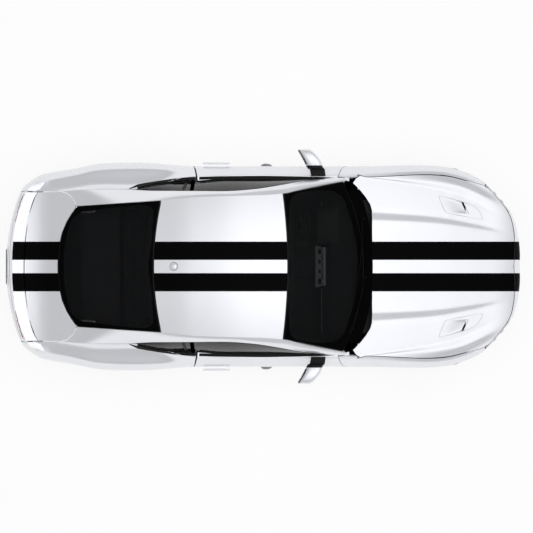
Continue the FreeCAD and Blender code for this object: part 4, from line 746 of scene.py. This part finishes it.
def wipers():
    glass = Surface("windscreen").down
    cowl = Surface("cowl_panel", "windscreen").down
    arms = (((0.893, 0.43), (0.862, 0.36), (0.80, -0.23)), ((0.902, -0.10), (0.872, -0.16), (0.742, -0.60)))
    for k, (pivot, start, end) in enumerate(arms):
        line = []
        for u in shares(14):
            x, y = Vector(start).lerp(Vector(end), u)
            place, normal = glass(x + 0.018 * sin(pi * u), y)
            if place is not None:
                line.append(place + normal * 0.008)
        foot = cowl(*pivot)[0]
        middle = line[len(line) // 2] + UP * 0.016
        arm = [foot + UP * 0.004, foot + Vector((-0.02, -0.02, 0.018)),
               (foot + middle) / 2 + Vector((0.004, 0, 0.014)), middle]
        tube("wiper_blade_%d" % k, line, 0.0045, "wiper", sides=8)
        tube("wiper_spine_%d" % k, [p + UP * 0.009 for p in line[2:-3]], 0.004, "wiper", sides=8)
        tube("wiper_arm_%d" % k, arm, 0.006, "wiper", sides=8)
        turned("wiper_pivot_%d" % k, [(-0.004, 0.013), (0.008, 0.013), (0.012, 0.010), (0.014, 0.006)],
               foot, UP, "wiper", segments=24)


def cabin_mirror():
    place, normal = Surface("windscreen").down(0.262, 0.02)
    foot = place - normal * 0.007
    block("mirror_foot", foot + Vector((-0.03, -0.035, -0.045)), foot + Vector((0.025, 0.035, -0.012)), "trim",
          round_by=0.008, taper=0.004)
    tube("mirror_stalk", [foot + Vector((0, 0, -0.03)), foot + Vector((0.004, 0, -0.07)),
                          foot + Vector((-0.02, 0.01, -0.1))], 0.007, "trim")
    outline = [(squared(c, 0.45) * 0.118, squared(s, 0.6) * 0.033) for c, s in circle(28)]
    centre = foot + Vector((-0.025, 0.012, -0.105))
    verts = [centre + Vector((back - z * scale * 0.25, y * scale, z * scale))
             for back, scale in ((-0.012, 0.97), (-0.009, 1.0), (0.012, 0.98), (0.022, 0.8), (0.026, 0.45))
             for y, z in outline]
    piece("cabin_mirror", verts, barrel_faces(5, len(outline)), "trim")


# Outside details

def aerial():
    place, normal = Surface("roof_panel").down(-0.773, 0.0)
    base = place - normal * 0.0006
    dome = [(0.003 + 0.017 * sin(a * pi / 20), 0.0335 * cos(a * pi / 20)) for a in range(10)]
    turned("aerial_seal", [(0, 0.036), (0.0022, 0.036), (0.003, 0.034), (0.003, 0.01)], base, normal, "seal")
    turned("aerial_dome", dome, base, normal, "body_paint")


def door_mirrors():
    """The glass of each door mirror and a dark line along the shell's rear edge."""
    for side, name in SIDES:
        surface, body = Surface("mirror_" + name), "door_%s_body" % name
        low, high = [Vector(c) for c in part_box("mirror_" + name)]
        rows = []
        for y in spread(side * 0.905, side * 1.030, 14):
            x = low.x - 0.01
            while x < high.x and surface.down(x, y)[0] is None:
                x += 0.001
            rows.append([surface.down(x + d, y) for d in (0.0012, 0.007, 0.013)])
        slab("mirror_edge_" + name, rows, BAND_LIFT, "gloss", body, 0.0004)
        loop = []
        for c, s in circle(24):
            place, normal = surface.cast((-1.5, side * 0.985 + squared(c, 0.7) * 0.043,
                                          (low.z + high.z) / 2 + 0.012 + squared(s, 0.7) * 0.045), (1, 0, 0))
            if place is not None:
                loop.append(place + normal * BAND_LIFT)
        count = len(loop)
        centre = sum(loop, Vector()) / count
        verts = loop + [centre + (p - centre) * 0.93 for p in loop] + [centre]
        faces = grid_faces(2, count, 0, True)
        faces += [(count + j, count + (j + 1) % count, 2 * count) for j in range(count)]
        glass = piece("mirror_glass_" + name, verts, faces, "mirror", body)
        glass.modifiers.new("thick", "SOLIDIFY").thickness = 0.002


def number_plate():
    """A blank plate in a frame, with two bolts."""
    feel = Surface("rear_bumper").along
    low, high, half, thick = 0.575, 0.675, 0.155, 0.004
    ys, zs = spread(-half, half, 8), spread(low, high, 3)
    x = min(feel(y, z, -1)[0].x for y in ys for z in zs)
    rows = [[(Vector((x, y, z)), Vector((-1, 0, 0))) for y in ys] for z in zs]
    softened(slab("number_plate", rows, thick, "plate", sink=0.0), 0.0012)
    edge = [Vector((x - thick, y, z)) for y, z in ((half, low), (-half, low), (-half, high), (half, high))]
    ring = [a + (b - a) * u for a, b in zip(edge, edge[1:] + edge[:1]) for u in (0.06, 0.5, 0.94)]
    tube("plate_frame", ring, 0.004, "trim", closed=True, sides=8)
    for side, name in SIDES:
        turned("plate_bolt_" + name, [(0.0, 0.0075), (0.003, 0.0075), (0.0045, 0.005)],
               (x - thick, side * 0.089, 0.64), (-1, 0, 0), "bright", segments=12)


def exhaust_tips():
    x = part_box("exhaust")[0][0] + 0.002
    tip = [(0.05, 0.0402), (0.05, 0.0435), (0.0, 0.0435), (-0.003, 0.042), (-0.003, 0.038), (0.001, 0.0345)]
    # The mouth is a satin black disk just inside each tip that closes it: painted shade in place of the pipe's
    # dark hollow.
    mouth = [(0.0012, 0.0344), (-0.0006, 0.034), (-0.0004, 0.02), (-0.0002, 0.004)]
    for side, name in SIDES:
        place = (x, side * 0.40, 0.24), (1, 0, 0)
        turned("exhaust_tip_" + name, tip, *place, "exhaust_tip")
        turned("exhaust_mouth_" + name, mouth, *place, "exhaust_mouth", segments=40)


def hood_vent_shade_lines():
    """A thin grey line round each vent in the hood: painted shade along the edge of the vent's recess."""
    hood = Surface("hood").down
    half = [(1.569, 0.645), (1.781, 0.592), (1.861, 0.568), (1.933, 0.532), (1.982, 0.460), (1.988, 0.423),
            (1.843, 0.4467), (1.633, 0.486)]
    for side, name in SIDES:
        centre = Vector((1.775, side * 0.525))

        def feel(x, y):
            """The hood's height as it would be without the vent, from a place just outside it."""
            out = (Vector((x, y)) - centre).normalized() * 0.008
            place, normal = hood(x + out.x, y + out.y)
            return Vector((x, y, place.z + (out.x * normal.x + out.y * normal.y) / normal.z)), normal

        outer = polar_loop([(x, side * y) for x, y in half], centre, 120, 0.03)
        inner = [tuple(Vector(p) - (Vector(p) - centre).normalized() * 0.0034) for p in outer]
        band("hood_vent_shade_line_" + name, feel, outer, inner, 0.0005, "vent_shade_line", "hood_body", 1, 0.0004)


def intake_net_and_shade():
    """A solid dark sheet behind the lower grille with a net pattern on it: it stands for the net and is painted
    shade in the bumper's cavity, where the floor would otherwise show.
    """
    points = [v.co for v in NODES["front_grilles"].data.vertices if v.co.z < 0.44]
    low, high = min(p.z for p in points) - 0.004, max(p.z for p in points) + 0.004
    reach = max(abs(p.y) for p in points) * 0.985
    rows = []
    for y in spread(-reach, reach, 32):
        close = [p.x for p in points if abs(p.y - y) < 0.06]
        if close:
            rows.append([(Vector((min(close) - 0.006, y, z)), Vector((1, 0, 0))) for z in spread(low, high, 6)])
    slab("intake_net_and_shade", rows, 0.0, "net", sink=0.004)


def lamp_details():
    """Two round lenses and a bar in each headlamp, and three ribs on each tail lamp."""
    feel = Surface("headlamps").along
    for side, name in SIDES:
        for k, (y, z, r) in enumerate(((0.60, 0.636, 0.024), (0.675, 0.64, 0.021))):
            profile = [(-0.002, r * 1.25), (0.0012, r * 1.22), (0.0016, r * 1.04)]
            profile += [(0.0016 + r * 0.30 * sin(a * pi / 16), r * cos(a * pi / 16))
                        for a in range(8)]
            turned("lamp_lens_%s_%d" % (name, k), profile, *feel(side * y, z, 1), "lens", segments=32)
    for side, name in SIDES:
        rows = [[feel(side * (0.745 - 0.10 * (z - 0.612) + d), z, 1) for d in (-0.0045, 0.0, 0.0045)]
                for z in spread(0.612, 0.664, 8)]
        slab("lamp_bar_%s_0" % name, rows, 0.0022, "lens")
    feel = Surface("tail_lamps").along
    for side, name in SIDES:
        for k, y in enumerate((0.446, 0.528, 0.610)):
            rows = [[feel(side * (y - 0.014 + 0.028 * u + d), 0.738 + 0.158 * u, -1) for d in (-0.013, 0.0, 0.013)]
                    for u in spread(0.1, 0.9, 8)]
            slab("lamp_rib_%s_%d" % (name, k), rows, 0.0025, "red_lens")


# Wheels

def tyre(name, centre, radius, width, side):
    """A tyre with grooves round its tread, cuts across it and ribs on its walls."""
    half = width / 2
    bead = 0.2413
    edge = half - 0.036
    wall = [(-half + 0.022, bead), (-half + 0.004, bead + 0.012), (-half + 0.0005, bead + 0.03),
            (-half, bead + 0.045), (-half + 0.001, bead + 0.06), (-half + 0.0016, radius - 0.034),
            (-half + 0.004, radius - 0.026), (-half + 0.010, radius - 0.015), (-half + 0.018, radius - 0.0085),
            (-half + 0.026, radius - 0.005), (-edge, radius - 0.0025)]
    # Each point across the tyre, with whether it lies in a groove and whether cuts cross it.
    row = [(t, r, 0, 1 if k > 7 else 0) for k, (t, r) in enumerate(wall)]
    mirrored = [(-t, r, groove, cut) for t, r, groove, cut in reversed(row)]
    last = -edge
    for middle in (-0.062, -0.021, 0.021, 0.062):
        for offset, groove in ((-0.0075, 0), (-0.005, 1), (0.005, 1), (0.0075, 0)):
            t = middle * width / TREAD_WIDTH + offset
            r = radius - 0.0022 * (abs(t) / half) ** 2
            if t - last > 0.02:
                row.append(((t + last) / 2, r, 0, 1))
            row.append((t, r, groove, 1 if abs(t) > 0.04 else 0))
            last = t
    row.append(((edge + last) / 2, radius - 0.0015, 0, 1))
    row += mirrored
    segments, cols = 264, len(row)
    verts = []
    for k, (c, s) in enumerate(circle(segments)):
        for t, r, groove, cut in row:
            across = cut and (k + int(round(abs(t) * 90))) % 6 == 0
            r -= GROOVE_DEPTH if groove else CUT_DEPTH if across else 0.0
            verts.append((centre.x + r * c, centre.y + t * side, centre.z + r * s))
    faces = []
    for k in range(segments):
        a, b = k * cols, (k + 1) % segments * cols
        faces += [(a + j, a + (j + 1) % cols, b + (j + 1) % cols, b + j) for j in range(cols)]
    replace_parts(piece("tyre_tread_" + name, verts, faces, "tyre_rubber", "wheel_" + name, 24), "tyre_" + name)


def wheels():
    for name in ("front_left", "front_right", "rear_left", "rear_right"):
        low, high = [Vector(c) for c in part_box("tyre_" + name)]
        centre = (low + high) / 2
        side = 1 if centre.y > 0 else -1
        body, width = "wheel_" + name, high.y - low.y
        tyre(name, centre, (high.z - low.z) / 2, width, side)
        cap = [(-0.004, 0.029), (0.010, 0.029), (0.014, 0.0265), (0.0155, 0.022), (0.0158, 0.006)]
        turned("wheel_cap_" + name, cap, (centre.x, centre.y + side * (width / 2 - 0.056), centre.z),
               (0, side, 0), "cap", body, 40)
        ring = [(centre.x + RIM_RADIUS * c, centre.y + side * (width / 2 - 0.0125), centre.z + RIM_RADIUS * s)
                for c, s in circle(40)]
        tube("rim_edge_" + name, ring, 0.0036, "rim", body, closed=True)


# Seats

def puffed(thing, frames=20):
    """The places of the piece's vertices after it was blown up as cloth."""
    puff = thing.modifiers.new("puff", "CLOTH")
    for key, value in (("quality", 5), ("mass", 0.3), ("tension_stiffness", 12), ("compression_stiffness", 12),
                       ("bending_stiffness", 0.6), ("use_pressure", True), ("uniform_pressure_force", 4.0)):
        setattr(puff.settings, key, value)
    puff.settings.effector_weights.gravity = 0.0
    puff.point_cache.frame_start = 1
    puff.point_cache.frame_end = frames
    for number in range(1, frames + 1):
        SCENE.frame_set(number)
    graph = bpy.context.evaluated_depsgraph_get()
    moved = [v.co.copy() for v in thing.evaluated_get(graph).data.vertices]
    thing.modifiers.clear()
    SCENE.frame_set(1)
    return moved


def pad_form(name, size, centre, turn, look):
    """A closed rounded form of a size, turned about its centre, as one even net."""
    sx, sy, sz = (s / 2 for s in size)
    rows, cols = 22, 40
    verts = []
    for i in range(rows + 1):
        lat = pi * (i / rows - 0.5)
        wide = abs(cos(lat)) ** 0.34
        for c, s in circle(cols):
            verts.append(turn @ Vector((sx * squared(c, 0.34) * wide, sy * squared(s, 0.34) * wide,
                                        sz * squared(sin(lat), 0.5))) + centre)
    return piece(name, verts, barrel_faces(rows + 1, cols), look)


def channel_depth(p, face, face_from, across, edge, reach, inner, outer, rows):
    """How deep the sewn channels are at a place on a pad: two along it, and some across it between them."""
    depth = 0.0
    if p[face] > face_from:
        gaps = [(abs(abs(p.y) - edge), 0.010, reach)]
        if inner < abs(p.y) < outer:
            gaps += [(abs(p[across] - row), 0.005, 0.006) for row in rows]
        for gap, deep, wide in gaps:
            if gap < wide * 2.5:
                depth = max(depth, deep * exp(-(gap / wide) ** 2))
    return depth


def pad(name, size, centre, tilt, swell, channels=None, look="seat_fabric", voxel=0.008):
    """A pad puffed up with cloth from a rounded closed form, with sewn channels pressed in after."""
    turn = Matrix.Rotation(tilt, 3, "Y")
    centre = Vector(centre)
    thing = pad_form(name, size, centre, turn, look)
    remesh = thing.modifiers.new("remesh", "REMESH")
    remesh.mode = "VOXEL"
    remesh.voxel_size = voxel
    made = bpy.data.meshes.new_from_object(thing.evaluated_get(bpy.context.evaluated_depsgraph_get()))
    thing.modifiers.clear()
    thing.data = made
    start = [v.co.copy() for v in made.vertices]
    moved = puffed(thing)
    if len(moved) == len(start):
        for vertex, old, new in zip(made.vertices, start, moved):
            step = new - old
            vertex.co = old + step * min(1.0, swell / max(step.length, 1e-9))
    made.update()
    if channels:
        inverse = turn.inverted()
        normals = [v.normal.copy() for v in made.vertices]
        for vertex, normal in zip(made.vertices, normals):
            vertex.co -= normal * channel_depth(inverse @ (vertex.co - centre), *channels)
    for polygon in made.polygons:
        polygon.use_smooth = True
    made.materials.clear()
    made.materials.append(LOOKS[look][0])
    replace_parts(thing, "seats")


def seats():
    lean = radians(-20)
    turn = Matrix.Rotation(lean, 3, "Y")
    top, front = (2, 0.005, 0), (0, 0.02, 2)
    middle = (0.125, 0.007, -1.0, 0.125)
    for side, name in SIDES:
        y = side * 0.376

        def leaned(x, z, aside=0.0):
            """A place on the upright seat, after it is leaned back about the seat's hinge."""
            hinge = Vector((-0.40, y + aside, 0.40))
            return turn @ (Vector((x, y + aside, z)) - hinge) + hinge

        pad("seat_cushion_" + name, (0.47, 0.42, 0.125), (-0.168, y, 0.325), 0.0, 0.018,
            (*top, *middle, (-0.122, -0.042, 0.038, 0.118)))
        pad("seat_back_" + name, (0.115, 0.41, 0.53), leaned(-0.405, 0.67), lean, 0.016,
            (*front, *middle, (-0.17, -0.09, -0.01, 0.07, 0.15)))
        pad("head_rest_" + name, (0.075, 0.225, 0.13), leaned(-0.41, 1.075), lean, 0.010, look="head_rest")
        for aside in (-0.05, 0.05):
            low, high = leaned(-0.41, 0.90, aside), leaned(-0.41, 1.05, aside)
            post = tube("head_post_%s_%s" % (name, "in" if aside * side < 0 else "out"),
                        [low, (low + high) / 2, high], 0.0065, "bright")
            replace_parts(post, "seats")
        for k, inner in enumerate((0.200, 0.512)):
            y0, y1 = sorted((side * inner, side * (inner + 0.04)))
            rail = block("seat_rail_%s_%d" % (name, k), (-0.378, y0 + 0.002, 0.1986), (0.038, y1 - 0.002, 0.27),
                         "rail", round_by=0.003)
            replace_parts(rail, "seats")
    middle = (0.09, 0.008, 0.12, 0.48)
    pad("rear_bench", (0.36, 1.10, 0.105), (-0.87, 0, 0.392), 0.0, 0.014,
        (2, -0.002, 0, *middle, (-0.09, -0.01, 0.07)), voxel=0.010)
    pad("rear_backrest", (0.085, 1.10, 0.36), (-1.185, 0, 0.667), atan2(-0.11, 0.37), 0.010,
        (0, 0.01, 2, *middle, (-0.08, 0.0, 0.08)), voxel=0.010)


# Cabin

def dash():
    """The middle of the dashboard with its vents, the shade over the dials and seams."""
    low, high = Vector((0.463, 0, 0.79)), Vector((0.545, 0, 0.885))
    along = high - low
    normal = Vector((-along.z, 0, along.x)).normalized()
    rows = [[(low + along * u + Vector((0, y * (1.0 - 0.10 * u), 0)), normal)
             for y in (-0.19, -0.183, -0.09, 0.0, 0.09, 0.183, 0.19)] for u in shares(6)]
    softened(slab("dash_middle", rows, 0.0, "dash", sink=0.03), 0.004, 3)
    for k, (y, r) in enumerate(((0.135, 0.033), (0.045, 0.024), (-0.045, 0.024), (-0.135, 0.033))):
        centre = (low + high) / 2 + Vector((0, y, 0)) + normal * 0.0005
        ring = [(-0.004, r), (0.004, r), (0.006, r * 0.93), (0.004, r * 0.84), (-0.002, r * 0.82)]
        vent = [(-0.002, r * 0.82), (0.0015, r * 0.80), (0.0022, r * 0.4), (0.003, r * 0.1)]
        turned("dash_ring_%d" % k, ring, centre, normal, "dash", segments=36)
        turned("dash_vent_%d" % k, vent, centre, normal, "trim", segments=30)
    top, bottom = [], []
    for u in shares(8):
        x = 0.475 + 0.20 * u
        for v in spread(-1.0, 1.0, 12):
            y, dome = 0.37 + 0.17 * v, (1 - v ** 4) * 0.055 * (1 - u) ** 0.8
            top.append(Vector((x, y, 0.856 + dome + 0.05 * u)))
            bottom.append(Vector((x, y, 0.848 + 0.03 * u)))
    softened(shell("dial_shade", top, bottom, 9, 13, "black_leather"), 0.006, 3)
    for side, name in SIDES:
        tube("dash_seam_" + name, [(0.5195, side * y, 0.8615) for y in (0.20, 0.4, 0.59)], 0.0012, "seam", sides=5)


def steering_details():
    tilt = radians(24)
    place = (0.330, 0.370, 0.800), (-cos(tilt), 0, sin(tilt))
    pad_profile = [(-0.012, 0.060), (0.008, 0.062), (0.018, 0.054), (0.024, 0.035), (0.026, 0.01)]
    ring_profile = [(0.0085, 0.0635), (0.0135, 0.0625), (0.0150, 0.0595), (0.0140, 0.0575)]
    turned("horn_pad", pad_profile, *place, "horn", "steering_wheel_body", 40)
    turned("horn_ring", ring_profile, *place, "horn_ring", "steering_wheel_body", 40)


def door_cards():
    """The lining of each door, with arm rest, opening lever and speaker."""
    for side, name in SIDES:
        body, door = "door_%s_body" % name, Surface("door_" + name)
        rows = []
        for z in spread(0.345, 0.815, 8):
            found = [door.cast((x, 0, z), (0, side, 0))[0] for x in spread(-0.56, 0.64, 14)]
            if all(place is not None and abs(place.y) <= 0.83 for place in found):
                rows.append([(place, Vector((0, -side, 0))) for place in found])
        softened(slab("door_card_" + name, rows, 0.006, "black_leather", body, 0.0), 0.003)
        y = abs(rows[0][7][0].y)
        y0, y1 = sorted((side * (y - 0.045), side * (y - 0.004)))
        block("arm_rest_" + name, (-0.33, y0, 0.56), (0.20, y1, 0.615), "black_leather", body, 0.012)
        lever = [(x, side * (y - out), z) for x, out, z in ((0.25, 0.009, 0.70), (0.29, 0.022, 0.703),
                                                            (0.34, 0.022, 0.703), (0.37, 0.009, 0.70))]
        tube("door_lever_" + name, lever, 0.006, "bright", body)
        speaker = [(-0.002, 0.078), (0.004, 0.078), (0.006, 0.070), (0.003, 0.066), (0.005, 0.02)]
        turned("door_speaker_" + name, speaker, (0.48, side * (y - 0.006), 0.44), (0, -side, 0), "trim", body, 40)


def gear_lever():
    boot = [(0.0, 0.052), (0.02, 0.044), (0.032, 0.030), (0.05, 0.016)]
    knob = [(0.0, 0.012), (0.006, 0.020), (0.018, 0.026), (0.032, 0.024), (0.042, 0.014), (0.044, 0.004)]
    turned("gear_boot", boot, (0.12, 0.0, 0.559), UP, "black_leather", segments=28)
    tube("gear_stick", [(0.12, 0, 0.59), (0.118, 0, 0.64), (0.115, 0, 0.672)], 0.007, "bright")
    turned("gear_knob", knob, (0.115, 0, 0.662), UP, "gloss", segments=32)


# Floor, light and camera

def floor():
    """A white floor that shows as white to the camera and keeps the car's shadow."""
    mesh = bpy.data.meshes.new("floor")
    mesh.from_pydata([(-90, -90, 0), (90, -90, 0), (90, 90, 0), (-90, 90, 0)], [], [(0, 1, 2, 3)])
    s = Shader("floor_white")
    plain = s.principled(Base_Color=s.mix(s.noise(3.0, 4.0), (0.93, 0.93, 0.93), (0.95, 0.95, 0.95)),
                         Roughness=0.8, Specular_IOR_Level=0.1)
    glow = s.node("ShaderNodeEmission")
    glow.inputs["Strength"].default_value = 1.0
    path = s.node("ShaderNodeLightPath").outputs
    seen = s.math("MAXIMUM", path["Is Camera Ray"], path["Is Glossy Ray"])
    seen = s.math("MAXIMUM", seen, path["Is Transmission Ray"])
    mesh.materials.append(s.done(s.blend(s.math("MULTIPLY", seen, GLOW_SHARE), plain, glow.outputs[0])))
    placed("floor", mesh)


def sky():
    """A studio sky that is brightest overhead, and white to the camera."""
    world = bpy.data.worlds.new("studio")
    SCENE.world = world
    world.use_nodes = True
    s = Tree(world.node_tree, "Generated")
    lean = s.node("ShaderNodeVectorMath", operation="DOT_PRODUCT")
    s.put(lean.inputs[0], s.place)
    lean.inputs[1].default_value = SKY_LEAN
    ramp = s.node("ShaderNodeValToRGB")
    s.put(ramp.inputs[0], lean.outputs["Value"])
    stops = ramp.color_ramp.elements
    stops[0].position, stops[1].position = SKY_STOPS[0][0], SKY_STOPS[-1][0]
    for at, _ in SKY_STOPS[1:-1]:
        stops.new(at)
    for stop, (_, level) in zip(stops, SKY_STOPS):
        stop.color = (level * 0.985, level * 0.99, level, 1.0)
    path = s.node("ShaderNodeLightPath").outputs
    shown = s.math("MAXIMUM", path["Is Glossy Ray"], path["Is Transmission Ray"])
    shown = s.math("MULTIPLY", shown, s.between(s.axes()[2], BACKDROP_HIGH, BACKDROP_LOW))
    shown = s.math("MAXIMUM", shown, path["Is Camera Ray"])
    light = s.node("ShaderNodeBackground")
    s.put(light.inputs["Color"], s.mix(shown, ramp.outputs[0], (1.0, 1.0, 1.0)))
    out = s.node("ShaderNodeOutputWorld")
    s.put(out.inputs["Surface"], light.outputs[0])


def softbox():
    """A large lamp straight overhead."""
    lamp = bpy.data.lights.new("overhead", "AREA")
    lamp.shape = "RECTANGLE"
    lamp.size, lamp.size_y = 8.0, 6.0
    lamp.energy = 420.0
    thing = placed("overhead", lamp)
    thing.location = (0.0, 0.0, 9.0)
    thing.visible_glossy = False
    thing.visible_camera = False


def camera():
    lens = bpy.data.cameras.new("camera")
    lens.sensor_width = 36.0
    lens.lens = FOCAL_LENGTH
    lens.clip_end = 100.0
    SCENE.camera = placed("camera", lens)
    SCENE.camera.location = EYE


for made in (window_bands, side_window_trims, belt_mouldings, screen_corners, door_blisters, wipers, cabin_mirror,
             aerial, door_mirrors, number_plate, exhaust_tips, lamp_details, hood_vent_shade_lines, intake_net_and_shade, wheels,
             seats, dash, steering_details, door_cards, gear_lever, floor, sky, softbox, camera):
    made()
SCENE.view_settings.view_transform = "Standard"
